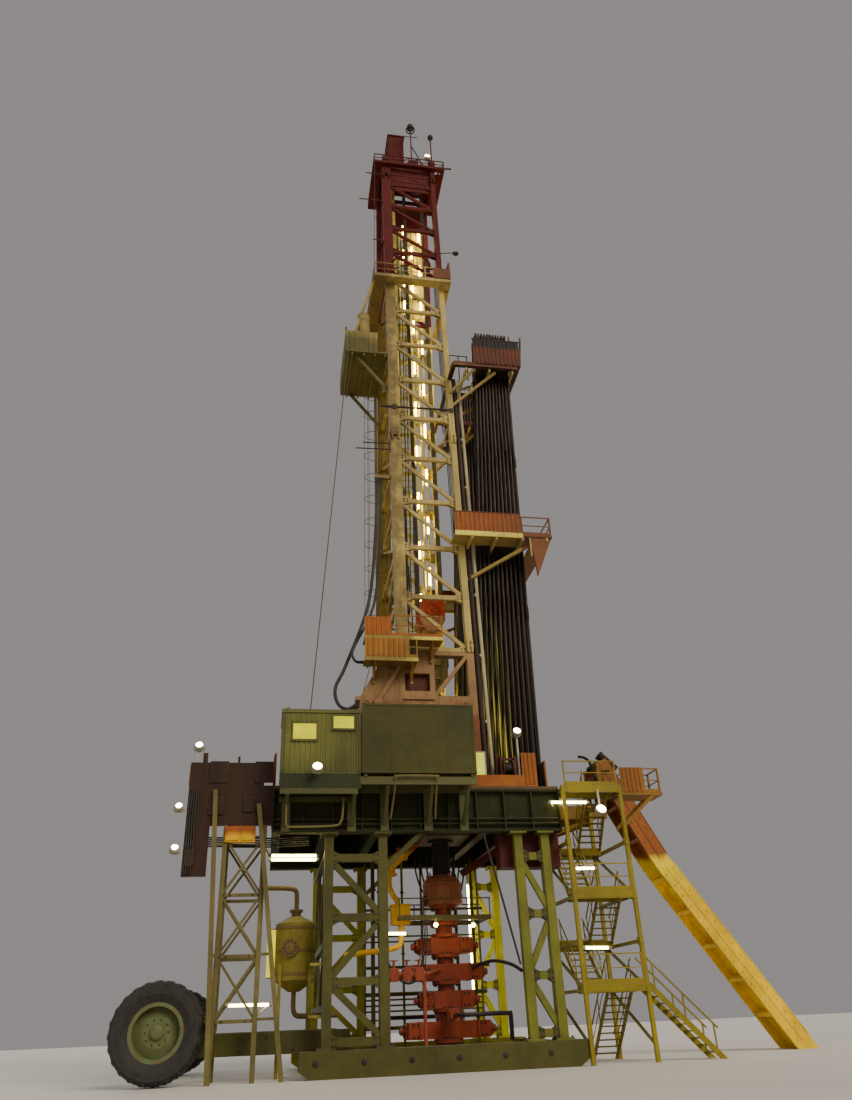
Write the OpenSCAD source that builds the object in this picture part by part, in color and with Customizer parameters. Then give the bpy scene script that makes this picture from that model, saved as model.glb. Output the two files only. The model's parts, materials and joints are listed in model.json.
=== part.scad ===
// Land drilling rig on a raised floor, a model at half of real size.
// X runs from the rear of the rig to the pipe slide, Y across it and Z up.
// The well is at X = 0, Y = 0 and the ground is Z = 0. Sizes are in millimetres.

/* [Drill floor] */
// Height of the deck above the ground
floor_h = 5350; // [5000:50:5800]
// Depth of the girders under the deck
girder_d = 900; // [700:20:1000]
// Thickness of the deck plate
deck_t = 60; // [40:5:80]
// Rear edge of the floor
floor_x0 = -4000; // [-4200:50:-3900]
// Front edge of the floor
floor_x1 = 2250; // [2150:50:2400]
// Width of the floor across the rig
floor_w = 5000; // [4800:50:5400]
// Width of the opening over the well
rotary_d = 480; // [400:10:560]

/* [Substructure] */
// Height of the base skids
skid_h = 450; // [350:10:550]
// Width of each base skid
skid_w = 500; // [420:10:600]
// Width of the substructure columns
col_w = 180; // [160:10:240]
// Width of the substructure braces
sub_brace = 120; // [80:5:150]
// Positions along X of the columns, rear pair and front pair
rear_col_a = -2800; // [-2900:10:-2700]
// Second rear column
rear_col_b = -1680; // [-1800:10:-1600]
// First front column
front_col_a = 1250; // [1150:10:1350]
// Second front column
front_col_b = 1850; // [1800:10:1900]

/* [Mast] */
// Height of the top of the mast
mast_h = 28250; // [27500:50:28800]
// Height where the plated base ends and the lattice starts
mast_lattice_z = 8750; // [8500:50:9000]
// Height where the dark red top section starts
mast_red_z = 22150; // [21900:50:22400]
// Half of the mast's width at the floor, to the leg centres
mast_half_base = 2000; // [1950:10:2050]
// Half of the mast's width at the top, to the leg centres
mast_half_top = 780; // [720:10:900]
// Rear legs, centre along X
mast_rear_x = -1080; // [-1150:10:-1050]
// Front legs, centre along X
mast_front_x = 595; // [560:10:640]
// Depth of a rear leg along X
rear_leg = 300; // [260:10:340]
// Depth of a front leg along X
front_leg = 160; // [140:10:200]
// Thickness of the legs across the rig
leg_t = 220; // [160:10:260]
// Thickness of the lattice members
lace = 90; // [60:5:120]
// Bays of the cream lattice
bays = 9; // [7:1:11]
// Bays of the red lattice
red_bays = 5; // [4:1:6]

/* [Hoisting] */
// Height of the travelling block's underside at rest
block_z = 9950; // [9700:50:10300]
// Height of the elevator's underside at rest
elevator_z = 6000; // [5800:50:6300]
// Height that the block can climb
block_travel = 11000; // [9000:100:11500]
// Thickness of a drilling line
line_d = 22; // [16:1:30]
// Diameter of the sheaves
sheave_d = 620; // [560:10:640]

/* [Racked pipe] */
// Thickness of a stand of pipe
pipe_d = 66; // [56:2:76]
// Stands along X in a bundle
rack_nx = 11; // [8:1:12]
// Stands across the rig in a bundle
rack_ny = 4; // [3:1:5]
// Height of the racking board's deck
board_z = 17850; // [17600:50:18200]
// Front end of the racking board
board_x1 = 2550; // [2500:10:2700]
// Height of the middle platform's deck
mid_z = 11920; // [11700:20:12200]
// Front end of the middle platform
mid_x1 = 2900; // [2850:10:3100]
// Distance between stands at their feet
foot_step = 135; // [125:1:140]
// Distance between stands at their heads
head_step = 92; // [88:1:100]
// Top of the stands
stand_top = 19450; // [19250:50:19700]

/* [Cabins] */
// Rear end of the doghouse
dog_x0 = -3870; // [-3950:10:-3800]
// Length of the doghouse
dog_l = 1640; // [1500:10:1700]
// Depth of the doghouse across the rig
dog_w = 1150; // [1050:10:1170]
// Height of the doghouse
dog_h = 1380; // [1300:10:1500]
// Thickness of the doghouse walls
wall_t = 50; // [40:5:70]
// Length of the plain cabin beside it
cabin_l = 2430; // [2300:10:2500]
// Clearance between the cabins and the legs of the mast
cabin_gap = 40; // [30:5:60]

/* [Stairs] */
// Length of the stair tower along X
stair_l = 1400; // [1300:10:1500]
// Length of the stair tower across the rig
stair_run = 2130; // [2000:10:2200]
// Height of the middle landing
landing_2 = 3150; // [3000:50:3300]
// Height of the lower landing
landing_1 = 1400; // [1300:50:1500]

/* [Pipe slide] */
// Head of the slide along X
slide_x0 = 4150; // [4100:10:4250]
// Height of the slide's head
slide_top = 6500; // [6350:50:6600]
// Height of the bend in the slide
bend_z = 4080; // [4000:20:4200]
// Length along X from the head of the slide to the bend
slide_run_1 = 1270; // [1200:10:1350]
// Length along X from the bend to the foot
slide_run_2 = 2810; // [2700:10:2900]
// Width of the slide
slide_w = 800; // [720:10:840]
// Height of the slide's side walls over its plate
slide_wall = 180; // [140:10:220]

/* [Moving wheels] */
// Diameter of the tyre
tyre_d = 1700; // [1500:20:1720]
// Width of the tyre
tyre_w = 620; // [500:10:700]
// Centre of the wheels along X
wheel_x = -5900; // [-6000:10:-5850]
// Distance of the wheels' centre from the centre line
wheel_y = 2300; // [2200:10:2400]
// Diameter of the stub axles
axle_d = 130; // [110:5:150]

/* [Hidden] */
gap = 0.3;
run_gap = 5;
mast_tilt = atan((mast_half_base - mast_half_top) / (mast_h - floor_h));
rear_face = mast_rear_x - rear_leg / 2;
front_face = mast_front_x + front_leg / 2;
floor_y = floor_w / 2;
girder_top = floor_h - deck_t;
girder_z = girder_top - girder_d;
sub_y = floor_y - 150;
tyre_z = tyre_d / 2 + 20;
rail_h = 550;
rack_y = mast_half_base - 500;
function mast_y(z) = mast_half_base
  + (mast_half_top - mast_half_base) * (z - floor_h) / (mast_h - floor_h);
function lerp(a, b, t) = a + (b - a) * t;

// A square bar between two points, w in its upright plane and h across.
module bar(a, b, w, h = 0) {
  v = b - a;
  len = norm(v);
  across = h == 0 ? w : h;
  translate(a) rotate([0, acos(v[2] / len), atan2(v[1], v[0])])
    translate([-w / 2, -across / 2, 0]) cube([w, across, len]);
}

// A round rod or pipe between two points.
module rod(a, b, d, sides = 8) {
  v = b - a;
  len = norm(v);
  translate(a) rotate([0, acos(v[2] / len), atan2(v[1], v[0])])
    cylinder(d = d, h = len, $fn = sides);
}

// A box from its low corner to its high corner.
module block(lo, hi) {
  translate(lo) cube(hi - lo);
}

// Handrail along a straight edge: posts, top rail, knee rail and toe board.
module handrail(a, b, h = rail_h) {
  v = b - a;
  n = max(1, round(norm(v) / 900));
  up = [0, 0, h];
  for (i = [0 : n]) bar(a + v * i / n, a + v * i / n + up, 30);
  bar(a + up - [0, 0, 15] - v * 15 / norm(v), b + up - [0, 0, 15] + v * 15 / norm(v), 26);
  bar(a + up * 0.5, b + up * 0.5, 20);
  bar(a + [0, 0, 40], b + [0, 0, 40], 80, 16);
}

// Same piece on the far side of the rig.
module far_side() {
  mirror([0, 1, 0]) children();
}

// Cuts children back from the legs of the mast and from its standpipes.
module clear_of_mast() {
  difference() {
    children();
    for (s = [-1, 1]) {
      leg_bar(s, mast_rear_x, rear_leg, floor_h, mast_h, 2 * gap);
      leg_bar(s, mast_front_x, front_leg, floor_h, mast_h, 2 * gap);
    }
    for (k = [0, 1]) rod(pipe_at(k, floor_h + 10), pipe_at(k, mast_h), pipe_ds[k] + 6, 12);
  }
}

// Leaning slab in a side of the mast with level ends, s is -1 for the near side.
module side_slab(s, x0, x1, z0, z1, thick) {
  t = thick / 2;
  translate([x0, 0, 0]) rotate([90, 0, 90]) linear_extrude(x1 - x0)
    polygon([[s * mast_y(z0) - t, z0], [s * mast_y(z0) + t, z0],
             [s * mast_y(z1) + t, z1], [s * mast_y(z1) - t, z1]]);
}

// One leg of the mast between two heights.
module leg_bar(s, x, deep, z0, z1, extra = 0) {
  half = (deep + extra) / 2;
  side_slab(s, x - half, x + half, z0, z1, leg_t + extra);
}

module skid() {
  color("#3d4a2c") translate([0, -sub_y + skid_w / 2, 0]) rotate([90, 0, 0])
    linear_extrude(skid_w)
      polygon([[floor_x0 + 700, 130], [floor_x0 + 900, 0], [floor_x1 - 180, 0],
               [floor_x1 + 20, 130], [floor_x1 + 20, skid_h], [floor_x0 + 700, skid_h]]);
}
module skid_near() { skid(); }
module skid_far() { far_side() skid(); }

module skid_ties() {
  color("#3d4a2c") for (x = [floor_x0 + 1100, floor_x1 - 110])
    block([x - 90, -sub_y + skid_w / 2, 120], [x + 90, sub_y - skid_w / 2, 420]);
}

// One braced pair of columns under the floor, seen from the near side.
module sub_frame(xa, xb, knee = 0) {
  z0 = skid_h;
  z1 = girder_z;
  y = -sub_y;
  levels = [skid_h + 130, skid_h + 1150, skid_h + 2300, z1 - 500];
  color("#45532f") {
    for (x = [xa, xb]) {
      bar([x, y, z0], [x, y, z1], col_w);
      block([x - 180, y - 180, z0], [x + 180, y + 180, z0 + 40]);
      block([x - 180, y - 180, z1 - 40], [x + 180, y + 180, z1]);
    }
    for (z = levels) bar([xa, y, z], [xb, y, z], sub_brace + 30, sub_brace + 20);
    for (i = [0 : 2]) {
      lo = levels[i];
      hi = levels[i + 1];
      a = i % 2 == 0 ? xb : xa;
      b = i % 2 == 0 ? xa : xb;
      bar([a, y, lo], [b, y, hi], sub_brace, sub_brace - 20);
    }
    if (knee > 0) difference() {
      bar([xb, y, z1 - 740], [xb + knee, y, z1 + 20], 100, 90);
      block([xb, y - 100, z1], [xb + knee + 200, y + 100, z1 + 200]);
    }
  }
}
module sub_rear_near() { sub_frame(rear_col_a, rear_col_b, 860); }
module sub_rear_far() { far_side() sub_frame(rear_col_a, rear_col_b, 860); }
module sub_front_near() { sub_frame(front_col_a, front_col_b); }
module sub_front_far() { far_side() sub_frame(front_col_a, front_col_b); }

// Bracing across the rig between the rear columns.
module sub_cross_brace() {
  x = rear_col_a;
  y1 = sub_y - col_w / 2;
  zs = [skid_h + 700, skid_h + 1850, girder_z - 300];
  color("#45532f") {
    for (z = zs) bar([x, -y1, z], [x, y1, z], 130, 120);
    for (i = [0, 1], s = [-1, 1]) {
      bar([x, s * 60, zs[i]], [x, s * (y1 * 0.5 - 50), zs[i + 1]], 80, 70);
      bar([x, s * (y1 - 90), zs[i]], [x, s * (y1 * 0.5 + 50), zs[i + 1]], 90, 80);
    }
  }
}

// Side girder of the floor, an I section with stiffeners.
module girder() {
  y = -floor_y;
  fl = 260;
  color("#26301d") {
    block([floor_x0, y, girder_z], [floor_x1, y + fl, girder_z + 50]);
    block([floor_x0, y, girder_top - 50], [floor_x1, y + fl, girder_top]);
    block([floor_x0, y + fl / 2 - 25, girder_z], [floor_x1, y + fl / 2 + 25, girder_top]);
    for (i = [0 : 10]) {
      x = lerp(floor_x0 + 15, floor_x1 - 15, i / 10);
      block([x - 15, y + 10, girder_z + 20], [x + 15, y + fl - 10, girder_top - 20]);
    }
  }
}
module girder_near() { girder(); }
module girder_far() { far_side() girder(); }

module cross_beams(xs) {
  y1 = floor_y - 260;
  color("#26301d") for (x = xs) {
    block([x - 90, -y1, girder_z + 120], [x + 90, y1, girder_z + 160]);
    block([x - 90, -y1, girder_top - 40], [x + 90, y1, girder_top]);
    block([x - 20, -y1, girder_z + 120], [x + 20, y1, girder_top]);
  }
}
module floor_beams_rear() { cross_beams([floor_x0 + 100, floor_x0 + 1150, -1750, -700]); }
// The front beams carry an equipment box under the near edge of the floor.
module floor_beams_front() {
  cross_beams([700, 1400, floor_x1 - 100]);
  color("#4c1d16") block([900, -floor_y + 340, girder_z - 690], [floor_x1 - 10, -floor_y + 750, girder_z + 130]);
}

module drill_floor() {
  color("#5a4a33") difference() {
    block([floor_x0, -floor_y, girder_top], [floor_x1, floor_y, floor_h]);
    translate([0, 0, girder_top - 1]) cylinder(d = rotary_d, h = deck_t + 2, $fn = 48);
  }
}

rotary_z = girder_z + 250;
module rotary_table() {
  color("#4c4c48") difference() {
    union() {
      block([-610, -700, rotary_z], [610 - gap, 700, girder_top]);
    }
    translate([0, 0, girder_z]) cylinder(d = rotary_d, h = girder_d + 2, $fn = 48);
  }
}

// Orange wind walls and rails along the edges of the floor.
st_gate = 700;
wall_h = 750;
module floor_windwall() {
  wall_x1 = floor_x1 - 20;
  color("#b4501e") {
    block([cabin_x1 + 20, -floor_y, floor_h], [1500, -floor_y + 60, floor_h + 250]);
    block([1465, -floor_y, floor_h], [1800, -floor_y + 40, floor_h + wall_h]);
    block([wall_x1 - 40, -floor_y + 640, floor_h], [wall_x1, -st_gate, floor_h + wall_h]);
    block([wall_x1 - 40, st_gate, floor_h], [wall_x1, floor_y, floor_h + wall_h]);
    block([floor_x0, floor_y - 40, floor_h], [wall_x1, floor_y, floor_h + wall_h]);
    block([floor_x0, -2300, floor_h], [floor_x0 + 40, floor_y, floor_h + wall_h]);
  }
}

// Small winch at the near edge of the floor, its drum along X between two cheeks.
module floor_winch() {
  x0 = front_face + 310;
  y = -floor_y + 220;
  z = floor_h + 450;
  color("#7a3a22") {
    block([x0, y - 150, floor_h], [x0 + 400, y + 150, floor_h + 60]);
    for (x = [x0 + 20, x0 + 340]) block([x, y - 130, floor_h + 40], [x + 40, y + 130, floor_h + 690]);
    translate([x0 + 10, y, z]) rotate([0, 90, 0]) cylinder(d = 240, h = 380, $fn = 32);
    for (x = [x0 + 75, x0 + 295]) translate([x, y, z]) rotate([0, 90, 0])
      cylinder(d = 380, h = 30, $fn = 32);
    block([x0 + 30, y - 25, floor_h + 640], [x0 + 370, y + 25, floor_h + 680]);
  }
}

dog_y1 = -(mast_half_base + leg_t / 2 + cabin_gap);
dog_y0 = dog_y1 - dog_w;
dog_z = floor_h;
dog_top = dog_z + dog_h;
dog_x1 = dog_x0 + dog_l;
skirt = 250;

// Walls of the doghouse with two windows, a door, and the skirt outside the floor.
module doghouse_walls() {
  z0 = dog_z + 60;
  z1 = dog_top - 40;
  color("#4b5632") {
    difference() {
      block([dog_x0, dog_y0, z0], [dog_x1, dog_y1, z1]);
      block([dog_x0 + wall_t, dog_y0 + wall_t, z0 - 1],
            [dog_x1 - wall_t, dog_y1 - wall_t, z1 + 1]);
      block([dog_x0 + 220, dog_y0 - 1, z1 - 570], [dog_x0 + 700, dog_y0 + wall_t + 1, z1 - 230]);
      block([dog_x0 + 1060, dog_y0 - 1, z1 - 330], [dog_x0 + 1490, dog_y0 + wall_t + 1, z1 - 60]);
      block([dog_x1 - 900, dog_y1 - wall_t - 1, z0 - 1], [dog_x1 - 420, dog_y1 + 1, z0 + 1050]);
    }
  }
}
module doghouse_floor() {
  color("#2c3320") {
    block([dog_x0, dog_y0, dog_z], [dog_x1, dog_y1, dog_z + 60]);
    difference() {
      block([dog_x0, dog_y0, dog_z - skirt], [dog_x1, -floor_y - gap, dog_z + 1]);
      block([dog_x0 + 40, dog_y0 + 40, dog_z - skirt - 1], [dog_x1 - 40, -floor_y - 40, dog_z - 1]);
    }
  }
}
module doghouse_roof() {
  color("#4b5632") block([dog_x0 - 30, dog_y0 - 30, dog_top - 40],
                         [dog_x1, dog_y1 + 20, dog_top]);
}

cabin_x0 = dog_x1 + 20;
cabin_x1 = cabin_x0 + cabin_l;
cabin_z = floor_h + 60;

module plain_cabin() {
  y0 = dog_y0 - 40;
  color("#454a28") {
    difference() {
      block([cabin_x0, y0, cabin_z], [cabin_x1, dog_y1, cabin_z + 1500]);
      block([cabin_x0 + wall_t, y0 + wall_t, cabin_z + 60],
            [cabin_x1 - wall_t, dog_y1 - wall_t, cabin_z + 1460]);
    }
    for (x = [cabin_x0 + 40, cabin_x1 - 120])
      block([x, y0 + 20, floor_h], [x + 80, dog_y1, cabin_z]);
  }
}

// Cantilever brackets that carry the cabins outside the girder.
module cabin_brackets() {
  dog_xs = [dog_x0 + 150, dog_x1 - 120];
  cabin_xs = [cabin_x0 + 560, cabin_x0 + 1500, cabin_x1 - 150];
  y0 = -floor_y - gap;
  color("#3d4a2c") {
    for (x = dog_xs) bracket(x, floor_h - skirt);
    for (x = cabin_xs) bracket(x, floor_h);
    block([dog_x0, dog_y0, floor_h - skirt - 100], [dog_x1 - 60, dog_y0 + 80, floor_h - skirt]);
    block([dog_x1 + 1, dog_y0, floor_h - 160], [cabin_x1, dog_y0 + 80, floor_h]);
    block([dog_x1 + 1, y0 - 80, floor_h - 160], [cabin_x1, y0, floor_h]);
    block([dog_x0, y0 - 80, floor_h - skirt - 100], [dog_x1 - 60, y0, floor_h - skirt]);
  }
}

// One cantilever bracket under a cabin, coped to the girder.
module bracket(x, top) {
  y0 = -floor_y - gap;
  difference() {
    union() {
      bar([x, y0 + 60, girder_z + 90], [x, dog_y0 + 70, top - 60], 90, 70);
      block([x - 45, dog_y0, top - 110], [x + 45, y0, top]);
      block([x - 90, y0 - 20, girder_z + 10], [x + 90, y0, top - 10]);
    }
    block([x - 200, y0, girder_z - 400], [x + 200, y0 + 400, floor_h + 10]);
  }
}

module drawworks() {
  x0 = -3400;
  z0 = floor_h;
  color("#8a4a34") {
    block([x0, -1100, z0], [x0 + 1500, 1100, z0 + 180]);
    for (s = [-1, 1]) translate([x0 + 750, s * 1000 + 60, z0 + 760]) rotate([90, 0, 0])
      cylinder(d = 1150, h = 120, $fn = 48);
    translate([x0 + 750, 1000, z0 + 760]) rotate([90, 0, 0]) cylinder(d = 560, h = 2000, $fn = 48);
    for (s = [-1, 1]) block([x0 + 250, s * 850 - 50, z0], [x0 + 1250, s * 850 + 50, z0 + 700]);
  }
}

// Plated foot of the mast with its raking rear leg.
module mast_base() {
  top = mast_lattice_z;
  bay_x0 = front_face - 1005;
  bay_x1 = front_face - 180;
  bay_z = floor_h + 2240;
  bay_h = top - bay_z - 110;
  color("#b08468") intersection() {
    translate([0, -mast_half_top, 0]) rotate([90, 0, 0]) linear_extrude(mast_half_base) {
      difference() {
        polygon([[rear_face - 2090, floor_h], [rear_face - 1710, floor_h],
                 [rear_face - 710, floor_h + 1850], [bay_x1, floor_h + 1850],
                 [bay_x1, floor_h], [front_face, floor_h], [front_face, top],
                 [rear_face, top], [rear_face - 490, floor_h + 2900]]);
        translate([-1050, floor_h + 2350]) square([600, 450]);
        translate([bay_x0, bay_z]) square([bay_x1 - bay_x0, bay_h]);
      }
      translate([bay_x0 - 20, bay_z - 20]) rotate(atan2(bay_h, bay_x1 - bay_x0))
        translate([0, -45]) square([norm([bay_h, bay_x1 - bay_x0]) + 50, 90]);
    }
    side_slab(-1, rear_face - 2200, front_face + 10, floor_h, top, leg_t);
  }
}
hose_foot_z = floor_h + 2100;
module mast_base_near() {
  y = mast_y(hose_foot_z);
  mast_base();
  color("#b08468") block([-2240, -y - 250, hose_foot_z - 50], [-2130, -y, hose_foot_z + 50]);
}
module mast_base_far() { far_side() mast_base(); }

// One lattice side between two heights, with n bays.
module lattice_side(z0, z1, n) {
  function leg(x, z) = [x, -mast_y(z), z];
  leg_bar(-1, mast_rear_x, rear_leg, z0, z1);
  leg_bar(-1, mast_front_x, front_leg, z0, z1);
  for (i = [0 : n]) {
    z = lerp(z0 + 60, z1 - 60, i / n);
    bar(leg(mast_rear_x, z), leg(mast_front_x, z), lace + 30, lace);
  }
  for (i = [0 : n - 1]) {
    za = lerp(z0 + 60, z1 - 60, i / n);
    zb = lerp(z0 + 60, z1 - 60, (i + 1) / n);
    bar(leg(mast_front_x, za), leg(mast_rear_x, zb), lace, lace - 20);
  }
}
hose_z = 14000;
hose_arm_x = -1680;
module mast_side_near() {
  color("#c9b98c") {
    lattice_side(mast_lattice_z, mast_red_z, bays);
    bar([rear_face + 60, -hose_y, hose_z], [hose_arm_x, -hose_y, hose_z], 100);
  }
}
module mast_side_far() { color("#c9b98c") far_side() lattice_side(mast_lattice_z, mast_red_z, bays); }

// The dark red top of a side, plated under the crown.
module top_side() {
  color("#5e1512") {
    lattice_side(mast_red_z, mast_h, red_bays);
    side_slab(-1, mast_rear_x, mast_front_x, mast_h - 1500, mast_h - 260, 30);
  }
}
module mast_top_near() { top_side(); }
module mast_top_far() { far_side() top_side(); }

// The lattice across the back of the mast between two heights.
module lattice_back(z0, z1, n) {
  x = mast_rear_x;
  seat = leg_t / 2 + gap + (lace + 20) / 2 * tan(mast_tilt);
  function side(s, z) = [x, s * (mast_y(z) - seat), z];
  for (i = [0 : n]) {
    z = lerp(z0 + 60, z1 - 60, i / n);
    bar(side(-1, z), side(1, z), lace + 20, lace);
  }
  for (i = [0 : n - 1]) {
    za = lerp(z0 + 60, z1 - 60, i / n);
    zb = lerp(z0 + 60, z1 - 60, (i + 1) / n);
    s = i % 2 == 0 ? 1 : -1;
    inset = [0, s * (lace - 10), 0];
    bar(side(-s, za) + inset, side(s, zb) - inset, lace - 20, lace - 25);
  }
}
module mast_back() { color("#c9b98c") lattice_back(mast_lattice_z, mast_red_z, bays); }
module mast_top_back() { color("#5e1512") lattice_back(mast_red_z, mast_h, red_bays); }

// Crown: beams, sheave cluster and its cover.
sheave_z = mast_h + 560;
module crown_block() {
  w = mast_half_top + leg_t / 2;
  color("#4a100e") {
    for (x = [mast_rear_x, mast_front_x])
      block([x - 130, -w, mast_h], [x + 130, w, mast_h + 260]);
    for (y = [-520, 520])
      block([mast_rear_x + 130, y - 60, mast_h + 20], [mast_front_x - 130, y + 60, mast_h + 240]);
    for (y = [-520, 520])
      block([-180, y - 40, mast_h + 240], [180, y + 40, sheave_z + 120]);
    block([-920, -570, mast_h + 200], [-sheave_d / 2 - 45, 570, mast_h + 1900]);
  }
  color("#3a3a38") {
    translate([0, 560, sheave_z]) rotate([90, 0, 0]) cylinder(d = 150, h = 1120, $fn = 24);
    for (y = line_y) translate([0, y + 30, sheave_z]) rotate([90, 0, 0]) sheave(60);
  }
}

// Grooved sheave, w thick.
module sheave(w) {
  r = sheave_d / 2;
  rotate_extrude($fn = 48)
    polygon([[60, 0], [r + 25, 0], [r, w * 0.3], [r, w * 0.7], [r + 25, w], [60, w]]);
}

// Deck round the top of the mast, cut to the legs, with low rails and two poles.
module crown_platform() {
  z = mast_h - 250;
  w = mast_half_top + leg_t / 2;
  edge = w + 150;
  x0 = rear_face - 310;
  x1 = front_face + 375;
  h = 400;
  color("#5e1512") clear_of_mast() {
    difference() {
      block([x0, -edge, z - 60], [x1, edge, z]);
      block([rear_face + 20, -w, z - 61], [front_face - 20, w, z + 1]);
    }
    for (s = [-1, 1]) handrail([x0 + 30, s * (edge - 30), z], [x1 - 30, s * (edge - 30), z], h);
    for (x = [x0 + 30, x1 - 30]) handrail([x, 60 - edge, z], [x, edge - 60, z], h);
    bar([-150, 40 - edge, z - 10], [-150, 40 - edge, z + 2200], 40);
    bar([590, 40 - edge, z - 10], [590, 40 - edge, z + 1700], 40);
  }
}

upper_z = mast_red_z - 380;
module upper_platform() {
  z = upper_z;
  w = mast_y(z) + leg_t / 2 + 20;
  edge = w + 300;
  x0 = rear_face - 400;
  x1 = front_face + 195;
  color("#b89a5a") clear_of_mast() {
    difference() {
      block([x0, -edge, z - 60], [x1, edge, z]);
      block([rear_face - 20, -w, z - 61], [front_face + 20, w, z + 1]);
    }
    for (s = [-1, 1], x = [mast_rear_x, mast_front_x])
      block([x - 60, s * (w + 20) - 70, z - 120], [x + 60, s * (w + 20) + 70, z - 20]);
    for (s = [-1, 1]) handrail([x0 + 20, s * (edge - 30), z], [x1 - 20, s * (edge - 30), z]);
    for (x = [x0 + 30, x1 - 30]) handrail([x, 60 - edge, z], [x, edge - 60, z]);
  }
}

// Basket behind the mast with its triangular hangers.
basket_z = 18600;
basket_x0 = -2500;
module stabbing_basket() {
  z = basket_z;
  x0 = basket_x0;
  x1 = rear_face - gap;
  y0 = -mast_y(z) - 160;
  y1 = 650;
  color("#b5a878") {
    difference() {
      union() {
        block([x0, y0, z - 60], [x1, y1, z]);
        block([x0, y0, z - 10], [x1 - 300, y0 + 40, z + 750]);
        block([x0, y0, z - 10], [x0 + 40, y1, z + 750]);
        handrail([x0 + 60, y1 - 30, z], [x1 - 60, y1 - 30, z]);
        translate([-1930, -1200, z - 20]) cylinder(d = 360, h = 1620, $fn = 32);
        for (y = [y0 + 150, y1 - 100])
          bar([x0 + 80, y, z - 30], [rear_face - 370, y, upper_z], 80, 70);
        for (y = [y0 + 200, y1 - 60])
          bar([x0 + 300, y, z - 30], [rear_face + 20, y, z - 1300], 80, 70);
      }
      block([x1, y0 - 100, z - 1500], [x1 + 500, y1 + 100, z + 100]);
      block([x0 - 100, y0 - 100, upper_z - 60 - gap], [x1 + 400, y1 + 100, upper_z + 500]);
    }
  }
}

// Racking board: the fingers between which the stands lean.

function stand_foot(i, j) = [front_face + 105 + i * foot_step, -rack_y - 210 + j * 140, floor_h + 40];
function stand_head(i, j) = [front_face + 805 + i * head_step, -rack_y - 190 + j * 128, stand_top];
function stand_at(i, j, z) =
  lerp(stand_foot(i, j), stand_head(i, j), (z - floor_h - 40) / (stand_top - floor_h - 40));

module racking_board() {
  z = board_z;
  x0 = front_face;
  x1 = board_x1;
  y = mast_y(z);
  outer = rack_y + 620;
  inner = 700;
  last = rack_nx - 1;
  color("#b9a06a") clear_of_mast() {
    for (s = [-1, 1]) {
      block([x0 - 60, s * outer - 60, z - 140], [x1, s * outer + 60, z]);
      block([x0 - 60, s * inner - 60, z - 140], [x1, s * inner + 60, z]);
      bar([x0 - 40, s * y, z - 70], [x0 - 40, s * outer, z - 70], 120);
      bar([x1 - 400, s * inner, z - 100], [x0 - 20, s * (mast_y(z - 1500) - 60), z - 1500], 80);
    }
    for (i = [-1 : last]) {
      a = stand_at(i, 0, z)[0] + 46;
      for (s = [-1, 1])
        block([a - 9, s * (rack_y + 30) - 640, z - 90], [a + 9, s * (rack_y + 30) + 640, z - 40]);
    }
    block([x1 - 60, -outer, z - 140], [x1 + 60, outer, z]);
    bar([x0 - 40, -y, z - 70], [x0 - 40, y, z - 70], 100);
  }
  color("#b4501e") {
    for (s = [-1, 1])
      block([x0 + 555, s * (outer + 60) - 20, z - 40], [x1 + 60, s * (outer + 60) + 20, z + 900]);
    block([x1 + 50, -outer - 80, z - 40], [x1 + 90, outer + 80, z + 900]);
  }
}

module racked(s) {
  color("#2b221c") for (i = [0 : rack_nx - 1], j = [0 : rack_ny - 1]) {
    a = stand_foot(i, j);
    b = stand_head(i, j);
    rod([a[0], s * a[1], a[2]], [b[0], s * b[1], b[2]], pipe_d, 6);
  }
}
module setback() {
  color("#3b3128") block([front_face + 20, -rack_y - 420, floor_h],
                         [floor_x1 - 80, -rack_y + 420, floor_h + 40]);
}
module racked_pipe_near() {
  setback();
  racked(1);
}
module racked_pipe_far() {
  far_side() setback();
  racked(-1);
}

// Middle platform in front of the mast, with its wind walls.
module mid_platform() {
  z = mid_z;
  x0 = front_face - 375;
  x1 = mid_x1;
  y = rack_y + 270;
  edge = y + 600;
  wall_x1 = front_face + 1400;
  color("#b9a06a") clear_of_mast() {
    for (s = [-1, 1]) {
      block([x0, s * (y + 300) - 300, z - 60], [x1, s * (y + 300) + 300, z]);
      block([front_face - 60, s * (y - 50) - 160, z - 60], [front_face + 60, s * (y - 50) + 160, z]);
      bar([x1 - 300, s * (y + 500), z - 60], [front_face - 20, s * mast_y(z - 1100), z - 1100], 80);
      translate([0, s * (edge - 60) + 30, 0]) rotate([90, 0, 0]) linear_extrude(60)
        polygon([[x1 - 600, z - 30], [x1 - 10, z - 30], [x1 - 490, z - 1200]]);
      handrail([wall_x1 + 30, s * (edge - 20), z], [x1 - 30, s * (edge - 20), z]);
    }
    block([x1 - 450, -edge, z - 60], [x1, edge, z]);
    handrail([x1 - 30, 60 - edge, z], [x1 - 30, edge - 60, z]);
  }
  color("#b4501e") for (s = [-1, 1])
    block([x0, s * (edge - 20) - 15, z - 30], [wall_x1, s * (edge - 20) + 15, z + 600]);
}

// One deck beside the mast from x = -2050 to x1, with a wind wall up to wall_x1.
module low_deck(z, x1, wall_x1, brackets) {
  x0 = -2050;
  y = mast_y(z - 60) + leg_t / 2 + gap;
  color("#b4501e") {
    block([x0, -y - 500, z - 60], [x1, -y, z]);
    block([x0, -y - 500, z - 10], [wall_x1, -y - 470, z + 480]);
    handrail([wall_x1 + 20, -y - 478, z], [x1 - 20, -y - 478, z]);
    for (x = brackets) {
      bar([x, -y - 440, z - 30], [x, -y - 55, z - 430], 50, 44);
      block([x - 30, -y - 80, z - 500], [x + 30, -y - 30, z - 30]);
    }
  }
}

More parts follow.
